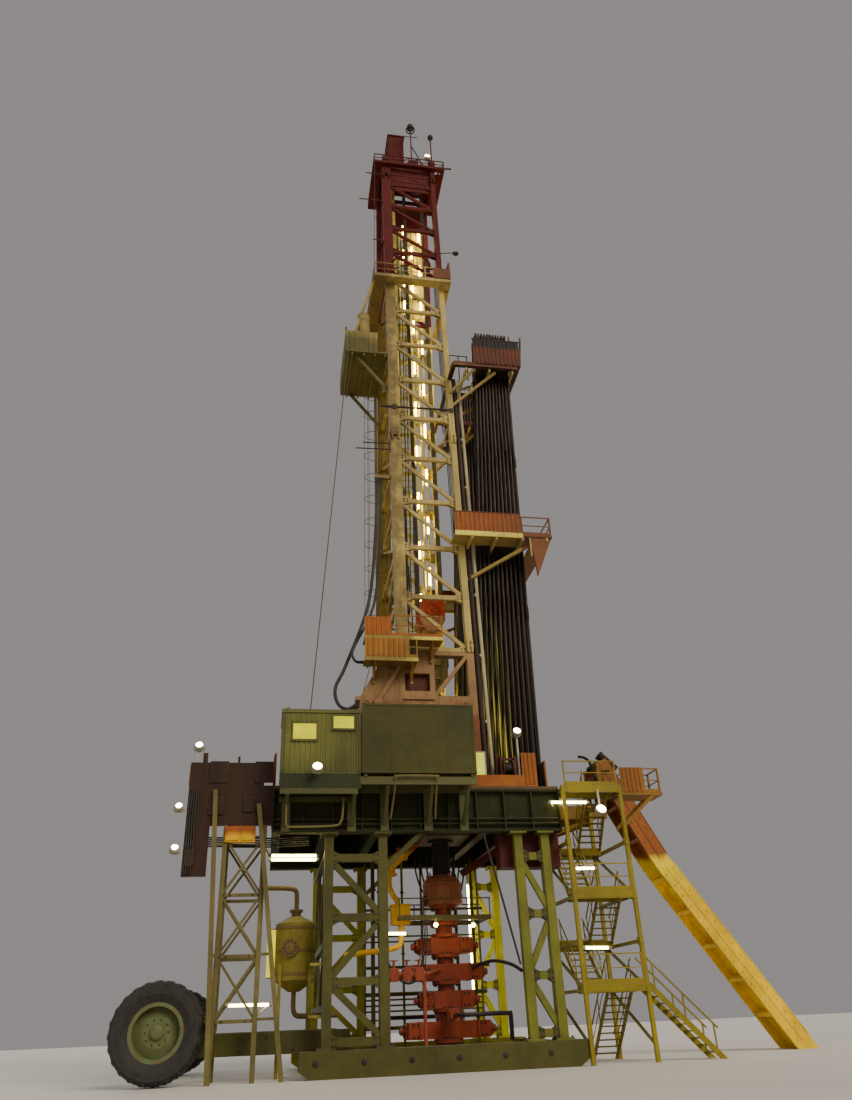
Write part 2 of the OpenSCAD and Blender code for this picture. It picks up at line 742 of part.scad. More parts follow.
// Lower platforms on the near side of the mast.
module lower_platform() {
  low_deck(mast_lattice_z - 400, -800, -1030, [-1800, -900]);
  low_deck(mast_lattice_z + 160, -170, -1450, [-1500, -400]);
}

// Rails that guide the top drive.
rail_x = -760;
rail_y = 300;
tie_zs = concat([for (i = [0 : bays]) lerp(mast_lattice_z + 60, mast_red_z - 60, i / bays)],
                [for (i = [1 : red_bays - 1]) lerp(mast_red_z + 60, mast_h - 60, i / red_bays)]);
module guide_rails() {
  color("#a89c74") for (s = [-1, 1]) {
    bar([rail_x, s * rail_y, floor_h + 500], [rail_x, s * rail_y, mast_h - 320], 90, 110);
    for (z = tie_zs)
      bar([rail_x, s * (rail_y + 30), z], [mast_rear_x + lace / 2 + gap, s * (rail_y + 30), z], 60, 50);
  }
}

pipe_ds = [130, 90];
function pipe_at(k, z) = [front_face + 90 + k * 150, -mast_y(z) - 20, z];
module standpipe() {
  color("#3a2f28") {
    for (k = [0, 1]) rod(pipe_at(k, floor_h + 4), pipe_at(k, board_z - 50), pipe_ds[k], 12);
    for (z = [floor_h + 1650 : 1700 : board_z - 400]) {
      a = pipe_at(0, z);
      block([front_face + gap, a[1] - 30, z - 30], [front_face + 280, a[1] + 30, z + 30]);
    }
  }
}

line_y = [for (i = [0 : 5]) -275 + i * 110];
line_x = sheave_d / 2 + line_d / 2 + gap;
block_axle_z = block_z + 600;
module drilling_lines() {
  color("#55504a") for (y = line_y, s = [-1, 1])
    rod([s * line_x, y, block_axle_z], [s * line_x, y, sheave_z], line_d, 6);
}

// Travelling block: cheek plates, sheaves and the beam under them.
module travelling_block() {
  z = block_z;
  cheek_y = line_y[5] + 70;
  color("#a8401c") {
    for (y = [-cheek_y, cheek_y]) translate([0, y + 25, 0]) rotate([90, 0, 0]) linear_extrude(50)
      polygon([[-150, z], [150, z], [340, z + 350], [340, z + 850], [180, z + 1050],
               [-180, z + 1050], [-340, z + 850], [-340, z + 350]]);
    block([-150, -cheek_y, z], [150, cheek_y, z + 120]);
    for (x = [-120, 120]) block([x - 30, -cheek_y, z + 970], [x + 30, cheek_y, z + 1040]);
  }
  color("#3a3a38") {
    translate([0, cheek_y, block_axle_z]) rotate([90, 0, 0]) cylinder(d = 160, h = 2 * cheek_y, $fn = 24);
    for (y = line_y) translate([0, y + 30, block_axle_z]) rotate([90, 0, 0]) sheave(60);
  }
}

// Top drive with its carriage, links and elevator.
shoe = 60;
module top_drive() {
  z = block_z - gap;
  inner = rail_y - 55 - run_gap;
  color("#b8a070") {
    block([-330, -300, z - 1300], [330, 300, z - 450]);
    translate([0, 0, z - 460]) cylinder(d = 420, h = 260, $fn = 32);
    translate([0, 0, z - 2000]) cylinder(d = 300, h = 710, $fn = 32);
    for (s = [-1, 1]) for (h = [z - 1900, z - 900]) {
      block([rail_x - 45 - run_gap - shoe, s * (inner - 30) - 30, h],
            [rail_x + 45 + run_gap + shoe, s * (inner - 30) + 30, h + 260]);
      for (x = [rail_x - 45 - run_gap - shoe, rail_x + 45 + run_gap])
        block([x, min(s * (inner - 20), s * (rail_y - 10)), h],
              [x + shoe, max(s * (inner - 20), s * (rail_y - 10)), h + 260]);
    }
    block([rail_x - 60, -inner + 10, z - 1900], [rail_x + 60, inner - 10, z - 640]);
    block([rail_x + 40, -150, z - 1250], [-300, 150, z - 750]);
    block([rail_x + 40, -150, z - 1850], [-120, 150, z - 1650]);
  }
  color("#4a443c") {
    block([-70, -230, z - 210], [70, 230, z]);
    for (s = [-1, 1]) bar([0, s * 200, elevator_z + 150], [0, s * 200, z - 1250], 60);
    translate([0, 0, elevator_z]) difference() {
      cylinder(d = 520, h = 200, $fn = 32);
      translate([0, 0, -1]) cylinder(d = 180, h = 202, $fn = 32);
    }
  }
}

// Tower behind the floor and its platform.
tower_x0 = -4920;
tower_x1 = floor_x0 - 140;
tower_y0 = -2450;
tower_y1 = -1500;
lean_y = -2560;
rear_beam = 750;
module rear_tower() {
  top = floor_h - 60 - gap;
  beam_z = floor_h - rear_beam - 60 - gap;
  levels = [for (k = [0 : 3]) 1000 + k * 1100];
  lean = [[tower_x0 - 10, tower_x0 - 260, floor_h - 110], [tower_x1 + 530, tower_x1 - 140, 4950]];
  color("#55613a") {
    for (x = [tower_x0, tower_x1]) {
      bar([x, tower_y0, 0], [x, tower_y0, beam_z], 90);
      bar([x, tower_y1, 0], [x, tower_y1, top], 90);
      for (z = levels) bar([x, tower_y0, z], [x, tower_y1, z], 60);
    }
    for (y = [tower_y0, tower_y1], k = [0 : 3]) {
      z = levels[k];
      bar([tower_x0, y, z], [tower_x1, y, z], 60);
      if (k < 3) {
        bar([tower_x0, y, z], [tower_x1, y, z + 1100], 46, 40);
        bar([tower_x1, y, z], [tower_x0, y, z + 1100], 46, 30);
      }
    }
    for (k = [0, 1]) {
      p = lean[k];
      chord = k == 0 ? tower_x0 : tower_x1;
      bar([p[0], lean_y, 0], [p[1], lean_y, p[2]], 90);
      for (z = [levels[0], levels[1], levels[3] - 150])
        bar([lerp(p[0], p[1], z / p[2]), lean_y, z + 20], [chord, tower_y0, z + 20], 50, 44);
    }
  }
}

module rear_platform() {
  x0 = -5730;
  y0 = -2500;
  y1 = -1200;
  color("#4a3a26") {
    block([x0, y0, floor_h - 60], [floor_x0, y1, floor_h]);
    block([x0, y0, floor_h - rear_beam - 60], [floor_x0, y0 + 100, floor_h - 50]);
    block([x0, y1 - 100, floor_h - 400], [floor_x0, y1, floor_h - 50]);
    block([x0, y0 + 10, floor_h - 400], [x0 + 40, y1 - 10, floor_h - 50]);
    block([x0, y0, floor_h - 1800], [x0 + 480, y0 + 40, floor_h - 50]);
    for (x = [x0 + 400, x0 + 1330]) block([x, y0 - 30, floor_h + 60], [x + 380, y0 + 20, floor_h + 500]);
  }
  color("#b4501e") {
    block([x0, y0, floor_h - 10], [x0 + 40, y1, floor_h + 480]);
    block([x0 + 30, y0, floor_h - 10], [floor_x0 - 200, y0 + 40, floor_h + 480]);
  }
}

module separator_tank() {
  x = -3400;
  y = -1300;
  d = 820;
  z0 = 1690;
  z1 = 2750;
  leg = d / 2 * cos(45) + 7;
  color("#c9bd8a") translate([x, y, 0]) {
    translate([0, 0, z0]) cylinder(d = d, h = z1 - z0, $fn = 48);
    translate([0, 0, z1]) cylinder(d1 = d, d2 = 300, h = 140, $fn = 48);
    translate([0, 0, z0 - 200]) cylinder(d1 = 240, d2 = d, h = 200, $fn = 48);
  }
  color("#45532f") {
    for (sx = [-1, 1], sy = [-1, 1])
      bar([x + sx * leg, y + sy * leg, 0], [x + sx * leg, y + sy * leg, z0 + 300], 60);
    for (z = [1000, 1900]) {
      block([x + leg - 25, -sub_y, z], [x + leg + 25, y - leg, z + 50]);
      block([x + leg - 25, -sub_y, z], [rear_col_a - col_w / 2 - gap, -sub_y + 50, z + 50]);
    }
  }
}

// Stack of blowout preventers on the wellhead.
module blowout_preventer() {
  annular_z = 3200;
  rams = [[520, 900], [1100, 560], [1640, 780], [2180, 600]];
  color("#9c2f22") {
    cylinder(d = 900, h = 80, $fn = 48);
    cylinder(d = 380, h = annular_z + 100, $fn = 48);
    for (r = rams) {
      block([-r[1], -230, r[0]], [r[1], 230, r[0] + 330]);
      translate([0, 0, r[0] - 75]) cylinder(d = 620, h = 70, $fn = 48);
      for (s = [-1, 1]) translate([s * r[1] - 60, 0, r[0] + 165]) rotate([0, 90, 0])
        cylinder(d = 300, h = 120, $fn = 32);
    }
    for (z = [2520, 2760, 2840, annular_z - 75]) translate([0, 0, z]) cylinder(d = 620, h = 70, $fn = 48);
    translate([0, 0, annular_z]) rotate_extrude($fn = 48)
      polygon([[0, 0], [420, 0], [450, 120], [450, 380], [400, 560], [280, 640], [0, 640]]);
    for (s = [-1, 1]) translate([0, s * 100, 955]) rotate([-90 * s, 0, 0])
      cylinder(d = 130, h = 830, $fn = 24);
  }
  color("#5b4630") {
    translate([0, 0, annular_z + 630]) cylinder(d = 420, h = rotary_z - gap - annular_z - 630, $fn = 48);
    translate([0, 0, rotary_z - gap - 60]) cylinder(d = rotary_d + 120, h = 60, $fn = 48);
  }
}

// Stair tower at the front near corner.
st_x0 = floor_x1 + 30;
st_x1 = st_x0 + stair_l;
st_y1 = -(slide_w / 2 + 120);
st_y0 = st_y1 - stair_run;
post_w = 80;
half_2 = (floor_h + landing_2) / 2;
half_1 = (landing_2 + landing_1) / 2;
st_mid = (st_x0 + st_x1) / 2;
land_l = 620;
// One landing between the side frames, with rails where rails is 1.
module landing(y0, y1, z, rails) {
  x0 = st_x0 + post_w + gap;
  x1 = st_x1 - post_w - gap;
  block([x0, y0, z - 40], [x1, y1, z]);
  block([x0, y0, z - 160], [x1, y0 + 50, z - 30]);
  block([x0, y1 - 50, z - 160], [x1, y1, z - 30]);
  if (rails == 1) handrail([x0 + 20, y0 + 20, z], [x1 - 20, y0 + 20, z]);
}
// Side frames of the stair tower, each one flat welded frame.
module stair_tower() {
  near = st_y0 + post_w / 2;
  far = st_y1 - post_w / 2;
  color("#8f8c35") for (x = [st_x0 + post_w / 2, st_x1 - post_w / 2]) {
    for (y = [near, far]) bar([x, y, 0], [x, y, floor_h], post_w);
    for (z = [landing_1, half_1, landing_2, half_2, floor_h])
      bar([x, near, z - 110], [x, far, z - 110], 60, post_w - 4);
    bar([x, near, 300], [x, far, landing_1 - 110], 50, 44);
    bar([x, near, landing_1 - 110], [x, far, half_1 - 110], 50, 44);
    bar([x, near, landing_2 - 110], [x, far, half_2 - 110], 50, 44);
  }
}
module stair_landings() {
  near = [st_y0, st_y0 + land_l];
  far = [st_y1 - land_l, st_y1];
  color("#8f8c35") {
    for (z = [floor_h, landing_2, landing_1]) landing(near[0], near[1], z, 1);
    for (z = [half_2, half_1]) landing(far[0], far[1], z, 0);
  }
}

// One flight from a low end to a high end, both on the centre line of the flight.
module flight(x, ya, za, yb, zb) {
  w = 520;
  n = round((zb - za) / 125);
  for (s = [-1, 1]) bar([x + s * w / 2, ya, za - 30], [x + s * w / 2, yb, zb - 30], 110, 24);
  for (i = [1 : n - 1]) {
    t = i / n;
    block([x - w / 2, lerp(ya, yb, t) - 60, lerp(za, zb, t) - 20],
          [x + w / 2, lerp(ya, yb, t) + 60, lerp(za, zb, t)]);
  }
}
module stair_flights() {
  left = st_x0 + 380;
  right = st_x1 - 380;
  a = st_y0 + land_l;
  b = st_y1 - land_l;
  foot_x = st_x1 + 1400;
  side_y = (st_y0 + post_w + a) / 2;
  color("#a09a3c") {
    difference() {
      union() {
        flight(right, b, half_2, a, floor_h);
        flight(left, a, landing_2, b, half_2);
        flight(right, b, half_1, a, landing_2);
        flight(left, a, landing_1, b, half_1);
      }
      block([st_x0, a - 300, 0], [st_x1, a + gap, floor_h + 200]);
      block([st_x0, b - gap, 0], [st_x1, b + 300, floor_h + 200]);
    }
    difference() {
      flight(right, st_y1, 0, a, landing_1);
      block([st_x0, a - 300, 0], [st_x1, a + gap, landing_1 + 200]);
      block([st_x0, a - 300, -300], [st_x1, st_y1 + 300, 0]);
    }
    difference() {
      union() {
        rotate([0, 0, 90]) flight(side_y, -foot_x, 0, -st_x1, landing_1);
        for (s = [-1, 1]) {
          y = side_y + s * 250;
          bar([foot_x - 60, y, 540], [st_x1, y, landing_1 + 480], 30, 26);
          for (t = [0.1, 0.5, 0.9]) let (x = lerp(foot_x, st_x1, t), z = lerp(0, landing_1, t))
            bar([x, y, z], [x, y, z + 500], 30, 20);
        }
      }
      block([st_x1 - 300, st_y0, 0], [st_x1 + gap, st_y1, landing_1 + 900]);
      block([st_x1, st_y0, -300], [foot_x + 300, st_y1, 0]);
    }
  }
}

// Porch in front of the floor, and the platform beyond the top of the stairs.
porch_x1 = slide_x0 - 50;
module front_porch() {
  y0 = st_y1 + gap;
  y1 = 620;
  post_y = slide_w / 2 + gap + 50;
  side_z = floor_h - 160;
  side_x1 = st_x1 + 960;
  side_y1 = st_y0 + land_l;
  color("#6a5a2c") {
    difference() {
      union() {
        block([floor_x1, y0, floor_h - 60], [porch_x1, y1, floor_h]);
        for (y = [y0, 500]) {
          block([floor_x1, y, floor_h - 300], [porch_x1, y + 60, floor_h - 50]);
          bar([porch_x1 - 300, y + 30, floor_h - 280], [floor_x1 - 60, y + 30, girder_z + 140], 80, 50);
        }
        for (s = [-1, 1]) {
          block([porch_x1 - 100, s * post_y - 50, floor_h - 10], [porch_x1, s * post_y + 50, slide_top - 60]);
          block([porch_x1 - 100, s * post_y - 50, slide_top - 260],
                [porch_x1 + 260, s * post_y + 50, slide_top - 160]);
        }
      }
      block([floor_x1 - 300, y0 - 100, girder_z - 300], [floor_x1 - 10 + gap, y1 + 100, floor_h + 10]);
    }
    difference() {
      union() {
        block([st_x1 + gap, st_y0, side_z - 60], [side_x1, side_y1, side_z]);
        for (y = [st_y0 + 40, side_y1 - 40])
          bar([side_x1 - 200, y, side_z - 40], [st_x1 - 20, y, side_z - 700], 70, 60);
        handrail([st_x1 + 560, st_y0 + 30, side_z], [side_x1 - 30, st_y0 + 30, side_z]);
        handrail([side_x1 - 30, st_y0 + 60, side_z], [side_x1 - 30, side_y1 - 60, side_z]);
        handrail([st_x1 + 30, side_y1 - 30, side_z], [side_x1 - 30, side_y1 - 30, side_z]);
      }
      block([st_x1 - 200, st_y0 - 50, side_z - 900], [st_x1 + gap, side_y1 + 50, side_z + 100]);
    }
  }
  color("#a5501f") block([st_x1 + 20, st_y0, side_z - 10], [st_x1 + 550, st_y0 + 40, side_z + 560]);
}

// Slide that pipe is pulled up along, with its side walls.
slide_a1 = atan2(slide_top - bend_z, slide_run_1);
slide_a2 = atan2(bend_z, slide_run_2);
slide_bend = [slide_x0 + slide_run_1, bend_z];
slide_foot = [slide_bend[0] + slide_run_2, 0];

// Outline of the slide at a distance off its plate's face, from the head to past the foot.
function slide_line(off) =
  let (n1 = [sin(slide_a1), cos(slide_a1)], n2 = [sin(slide_a2), cos(slide_a2)])
  [[slide_x0, slide_top] + off * n1,
   slide_bend + off * (n1 + n2) / (1 + n1 * n2),
   slide_foot + 400 * [cos(slide_a2), -sin(slide_a2)] + off * n2];

// Part of the slide between two distances off the plate's face, w wide from y towards -Y.
module slide_strip(lo, hi, y, w) {
  down = slide_line(hi);
  up = slide_line(lo);
  translate([0, y, 0]) rotate([90, 0, 0]) linear_extrude(w)
    polygon([down[0], down[1], down[2], up[2], up[1], up[0]]);
}
module pipe_slide() {
  half = slide_w / 2;
  color("#c9b21e") difference() {
    union() {
      slide_strip(-70, 0, half - 10, slide_w - 20);
      for (y = [half, 50 - half]) slide_strip(-240, slide_wall, y, 50);
      for (i = [0 : 2]) translate([slide_x0, 0, slide_top]) rotate([0, slide_a1, 0])
        block([200 + i * 900, 10 - half, -230], [290 + i * 900, half - 10, -60]);
      for (i = [0 : 4]) translate([slide_bend[0], 0, bend_z]) rotate([0, slide_a2, 0])
        block([300 + i * 900, 10 - half, -230], [390 + i * 900, half - 10, -60]);
    }
    block([slide_foot[0] - 900, -slide_w, -900], [slide_foot[0] + 900, slide_w, 0]);
  }
}

// Beams that carry the wheels behind the base skids.
module wheel_frame() {
  x1 = floor_x0 + 1700;
  y = wheel_y - tyre_w / 2 - 190;
  color("#3d4a2c") for (s = [-1, 1]) {
    block([wheel_x - 350, s * y - 110, 420], [x1, s * y + 110, 800]);
    translate([wheel_x, s * y - 115, tyre_z]) rotate([-90, 0, 0])
      cylinder(d = 300, h = 230, $fn = 32);
    block([wheel_x - 150, s * y - 105, 500], [wheel_x + 150, s * y + 105, tyre_z]);
    translate([wheel_x, s * y, tyre_z]) rotate([s * -90, 0, 0])
      cylinder(d = axle_d, h = wheel_y - y + 85, $fn = 48);
    translate([wheel_x, s * y, tyre_z]) rotate([s * -90, 0, 0])
      cylinder(d = axle_d + 70, h = wheel_y - y - 60 - run_gap, $fn = 48);
  }
  color("#3d4a2c")
    block([wheel_x + tyre_d / 2 + 450, -y, 460], [wheel_x + tyre_d / 2 + 650, y, 760]);
}

// Balloon tyre on a rim with its hub.
module wheel() {
  r = tyre_d / 2;
  hw = tyre_w / 2;
  color("#23211f") rotate([90, 0, 0]) rotate_extrude($fn = 64)
    polygon([[r * 0.56, -hw * 0.72], [r * 0.74, -hw * 0.98], [r * 0.9, -hw], [r * 0.98, -hw * 0.7],
             [r, -hw * 0.3], [r, hw * 0.3], [r * 0.98, hw * 0.7], [r * 0.9, hw],
             [r * 0.74, hw * 0.98], [r * 0.56, hw * 0.72]]);
  color("#4f6136") rotate([90, 0, 0]) rotate_extrude($fn = 64)
    polygon([[axle_d / 2 + 0.05, -60], [r * 0.3, -60], [r * 0.5, -20], [r * 0.5, -hw * 0.74],
             [r * 0.58, -hw * 0.74], [r * 0.58, hw * 0.74], [r * 0.5, hw * 0.74], [r * 0.5, 30],
             [r * 0.3, 90], [axle_d / 2 + 0.05, 90]]);
}
module wheel_near() { translate([wheel_x, -wheel_y, tyre_z]) wheel(); }
module wheel_far() { translate([wheel_x, wheel_y, tyre_z]) mirror([0, 1, 0]) wheel(); }

// Point on the curve through four points, t from 0 to 1 between the middle two.
function curve_at(a, b, c, d, t) =
  0.5 * (2 * b + (c - a) * t + (2 * a - 5 * b + 4 * c - d) * t * t
         + (3 * b - a - 3 * c + d) * t * t * t);

// A smooth route through hand-chosen points, with a step of about 2.5 diameters.
function route(pts, d) = let (last = len(pts) - 1) [
  for (i = [0 : last - 1])
    let (n = ceil(norm(pts[i + 1] - pts[i]) / (2.5 * d)))
      for (k = [0 : n - 1])
        curve_at(pts[max(i - 1, 0)], pts[i], pts[i + 1], pts[min(i + 2, last)], k / n),
  pts[last]
];

// A hose of d across along a route, one closed tube with square ends.
module hose(pts, d, sides = 8) {
  path = route(pts, d);
  n = len(path);
  m = len(pts);
  function way(i) = i == 0 ? pts[1] - pts[0]
    : i == n - 1 ? pts[m - 1] - pts[m - 2] : path[i + 1] - path[i - 1];
  rings = [for (i = [0 : n - 1])
    let (t = way(i) / norm(way(i)), u0 = cross(t, [0, 1, 0]), u = u0 / norm(u0), v = cross(t, u))
      for (k = [0 : sides - 1])
        path[i] + d / 2 * (cos(360 * k / sides) * u + sin(360 * k / sides) * v)];
  skin = [for (i = [0 : n - 2], k = [0 : sides - 1])
    let (a = i * sides + k, b = i * sides + (k + 1) % sides) [a, b, b + sides, a + sides]];
  ends = [[for (k = [sides - 1 : -1 : 0]) k], [for (k = [0 : sides - 1]) (n - 1) * sides + k]];
  polyhedron(rings, concat(skin, ends), convexity = 8);
}
hose_y = 1539;
hose_long_pts = [[-1620, -1539, 13950], [-1620, -1539, 13700], [-1700, -1750, 12000],
  [-1900, -1900, 10000], [-2450, -2060, 8300], [-2700, -2090, 7700], [-2640, -2090, 7320],
  [-2420, -2090, 7190], [-2190, -2090, 7330], [-2190, -2090, 7400]];
hose_short_pts = [[-1500, -1539, 13950], [-1500, -1539, 13700], [-1570, -1700, 12000],
  [-1760, -1850, 10000], [-2250, -2180, 8750], [-2330, -2220, 8500], [-2270, -2200, 8345],
  [-2170, -2150, 8320], [-2050, -2150, 8320]];
module hose_long() { color("#1c1b1a") hose(hose_long_pts, 80); }
module hose_short() { color("#1c1b1a") hose(hose_short_pts, 60); }

// Taut wire rope from the basket to the doghouse roof.
module tool_line() {
  color("#26241f")
    rod([basket_x0 + 80, -1400, basket_z - 62], [dog_x0 + 570, dog_y0 + 450, dog_top + 2], 24, 8);
}

// One floodlight, its lens tilted towards the ground on the near side.
module lamp(at) {
  translate(at) rotate([60, 0, 0]) cylinder(d = 170, h = 100, $fn = 24);
}
module floodlights() {
  face = dog_y0 - gap;
  stair_y = st_y0 - gap;
  pole_x = front_face + 755;
  pole_y = -floor_y + 100;
  color("#d8d4b8") {
    lamp([-3137, face - 150, floor_h + 90]);
    block([-3157, face - 190, floor_h + 80], [-3117, face, floor_h + 120]);
    bar([pole_x, pole_y, floor_h + gap], [pole_x, pole_y, floor_h + 1210], 40);
    lamp([pole_x, pole_y, floor_h + 1210]);
    block([3080, stair_y - 40, floor_h - 640], [3120, stair_y, floor_h - 100]);
    lamp([3100, stair_y - 20, floor_h - 600]);
    bar([-5600, -2430, floor_h + gap], [-5600, -2430, floor_h + 800], 40);
    lamp([-5600, -2430, floor_h + 800]);
    for (z = [floor_h - 480, floor_h - 1300]) {
      block([-5900, -2490, z - 15], [-5730 - gap, -2460, z + 15]);
      lamp([-5890, -2475, z]);
    }
    bar([430, -960, mast_h - 250 + gap], [430, -960, mast_h + 250], 40);
    lamp([430, -960, mast_h + 250]);
  }
}

skid_near();
skid_far();
skid_ties();
sub_rear_near();
sub_rear_far();
sub_front_near();
sub_front_far();
sub_cross_brace();
girder_near();
girder_far();
floor_beams_rear();
floor_beams_front();
drill_floor();
rotary_table();
floor_windwall();
floor_winch();
doghouse_walls();
doghouse_floor();
doghouse_roof();
plain_cabin();
cabin_brackets();
drawworks();
mast_base_near();
mast_base_far();
mast_side_near();
mast_side_far();
mast_back();
mast_top_near();
mast_top_far();
mast_top_back();
crown_block();
crown_platform();
upper_platform();
stabbing_basket();
racking_board();
mid_platform();
lower_platform();
guide_rails();
standpipe();
drilling_lines();
travelling_block();
top_drive();
racked_pipe_near();
racked_pipe_far();
rear_tower();
rear_platform();
separator_tank();
blowout_preventer();
stair_tower();
stair_landings();
stair_flights();
front_porch();
pipe_slide();
wheel_frame();
wheel_near();
wheel_far();
hose_long();
hose_short();
tool_line();
floodlights();
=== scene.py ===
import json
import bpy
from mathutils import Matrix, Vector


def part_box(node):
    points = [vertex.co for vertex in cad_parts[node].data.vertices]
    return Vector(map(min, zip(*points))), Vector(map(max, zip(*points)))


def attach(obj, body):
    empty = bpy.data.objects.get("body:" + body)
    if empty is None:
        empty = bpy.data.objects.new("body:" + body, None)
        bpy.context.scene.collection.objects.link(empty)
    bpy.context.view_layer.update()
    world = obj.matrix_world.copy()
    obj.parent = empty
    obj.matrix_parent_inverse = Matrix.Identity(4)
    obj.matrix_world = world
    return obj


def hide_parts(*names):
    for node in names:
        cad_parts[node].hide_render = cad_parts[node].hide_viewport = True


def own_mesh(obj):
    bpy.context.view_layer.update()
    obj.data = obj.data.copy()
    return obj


bl_info = {
    "name": "Drilling Rig Dresser",
    "version": (1, 0, 0),
    "blender": (4, 5, 0),
    "location": "3D View > Sidebar > Rig",
    "description": "Finishes, small fittings, hoses and stage for a half-size land drilling rig",
    "category": "Object",
}

from math import atan, atan2, cos, pi, radians, sin, tau

import bpy
from mathutils import Matrix, Vector

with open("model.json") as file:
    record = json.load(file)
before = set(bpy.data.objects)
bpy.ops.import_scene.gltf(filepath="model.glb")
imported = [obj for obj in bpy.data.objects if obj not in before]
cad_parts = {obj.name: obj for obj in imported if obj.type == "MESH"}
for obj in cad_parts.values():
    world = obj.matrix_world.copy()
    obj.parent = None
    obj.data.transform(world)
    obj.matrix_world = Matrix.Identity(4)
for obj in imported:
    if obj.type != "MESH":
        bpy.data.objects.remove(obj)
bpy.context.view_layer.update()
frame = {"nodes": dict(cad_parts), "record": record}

# The photograph's height in pixels, and how its camera stood beside the rig.
PHOTO_H = 1100
FOCAL_PX = 850
CAMERA_AT = (-3.977, -20.865, 0.8985)
CAMERA_TURN, CAMERA_TILT, CAMERA_ROLL = 10.676, 28.739, 2.425
SHIFT_PX = 3

# Points of the two hoses, as the model has them, in metres.
LONG_HOSE = [(-1.62, -1.539, 13.95), (-1.62, -1.539, 13.7), (-1.7, -1.75, 12.0),
             (-1.9, -1.9, 10.0), (-2.45, -2.06, 8.3), (-2.7, -2.09, 7.7),
             (-2.64, -2.09, 7.32), (-2.42, -2.09, 7.19), (-2.19, -2.09, 7.33), (-2.19, -2.09, 7.4)]
SHORT_HOSE = [(-1.5, -1.539, 13.95), (-1.5, -1.539, 13.7), (-1.57, -1.7, 12.0),
              (-1.76, -1.85, 10.0), (-2.25, -2.18, 8.75), (-2.33, -2.22, 8.5),
              (-2.27, -2.2, 8.345), (-2.17, -2.15, 8.32), (-2.05, -2.15, 8.32)]

QUARTER = pi / 2
SIDES = (-1, 1)  # Near and far.
UP = (0, 0, 1)
FLOOR = 5.35
# Middles of the columns, of the near and far wheel, of the separator tank and of the sheaves.
COLUMN_X, COLUMN_Y = (-2.8, -1.68, 1.25, 1.85), 2.35
WHEEL_X, WHEEL_Y, WHEEL_Z = -5.9, 2.3, 0.87
TANK_X, TANK_Y = -3.4, -1.3
SHEAVE_Z = 28.81
# Underside of each ram body of the preventer stack, and half of its length.
RAMS = ((0.52, 0.9), (1.1, 0.56), (1.64, 0.78), (2.18, 0.6))
# Height and front end of the two lower decks.
LOWER_DECKS = ((8.35, -0.8), (8.91, -0.17))
# How far each side of the mast leans in over its height, and the angle of that.
MAST_IN, MAST_RISE = 1.22, 22.9
MAST_LEAN = atan(MAST_IN / MAST_RISE)
REAR_LEG_X, FRONT_LEG_X = -1.08, 0.595
LATTICE = [8.81 + (22.09 - 8.81) * i / 9 for i in range(10)]
RED_LATTICE = [22.21 + (28.19 - 22.21) * i / 5 for i in range(6)]

# The finishes of each material slot in the record, apart from the one with its own name.
SLOT_FINISHES = {
    "cream_paint": "mast_base_paint inner_cream_paint mid_deck_paint basket_paint board_paint tank_paint",
    "orange_paint": "porch_paint board_wall_paint winch_paint block_paint flow_paint lower_deck_paint",
    "green_paint": "doghouse_paint bracket_paint stair_paint tower_paint lit_green_paint "
                   "stair_side_green_paint",
    "dark_green_paint": "beam_paint skirt_paint",
    "dark_steel": "standpipe_paint racked_steel",
    "lamp_housing": "lit_window lit_panel lamp_lens tube_glow mast_glow",
    "deck_steel": "rear_deck_paint",
    "wire_rope": "drum_rope",
    "yellow_paint": "slide_paint",
}
# The nodes that carry a finish other than their slot's own.
NODE_FINISHES = {"beam_paint": "floor_beams_front", "doghouse_paint": "doghouse_walls doghouse_roof",
                 "skirt_paint": "doghouse_floor", "bracket_paint": "cabin_brackets",
                 "basket_paint": "stabbing_basket", "mast_base_paint": "mast_base_near mast_base_far",
                 "inner_cream_paint": "mast_side_far mast_back guide_rails", "board_paint": "racking_board",
                 "mid_deck_paint": "mid_platform", "lower_deck_paint": "lower_platform",
                 "tank_paint": "separator_tank", "winch_paint": "floor_winch", "porch_paint": "front_porch",
                 "block_paint": "travelling_block", "orange_paint": "drawworks",
                 "standpipe_paint": "standpipe", "racked_steel": "racked_pipe_near racked_pipe_far",
                 "stair_paint": "stair_tower stair_landings stair_flights", "tower_paint": "rear_tower",
                 "rear_deck_paint": "rear_platform", "slide_paint": "pipe_slide",
                 "lit_green_paint": "sub_front_far", "stair_side_green_paint": "sub_front_near"}
SLOTS = {finish: slot for slot, names in SLOT_FINISHES.items() for finish in names.split()}
NODE_FINISH = {node: finish for finish, names in NODE_FINISHES.items() for node in names.split()}
FINISHES, GROUPS = {}, {}


def mast_y(z):
    """Half of the mast's width at a height, to the middle of its legs."""
    return 2.0 - MAST_IN * (z - FLOOR) / MAST_RISE


def facing(side):
    """Turn that points a unit's top out of the near side, -1, or the far side, 1."""
    return -side * QUARTER, 0, 0


def rgb(red, green, blue):
    """Linear colour from display values out of 255."""
    return tuple((v / 255) ** 2.2 for v in (red, green, blue))


def between(a, b, t):
    return tuple(p + (q - p) * t for p, q in zip(a, b))


def across(direction):
    """Two unit vectors square to a direction and to each other."""
    along = Vector(direction).normalized()
    helper = Vector((0, 0, 1)) if abs(along.z) < 0.9 else Vector((1, 0, 0))
    side = helper.cross(along).normalized()
    return side, along.cross(side)


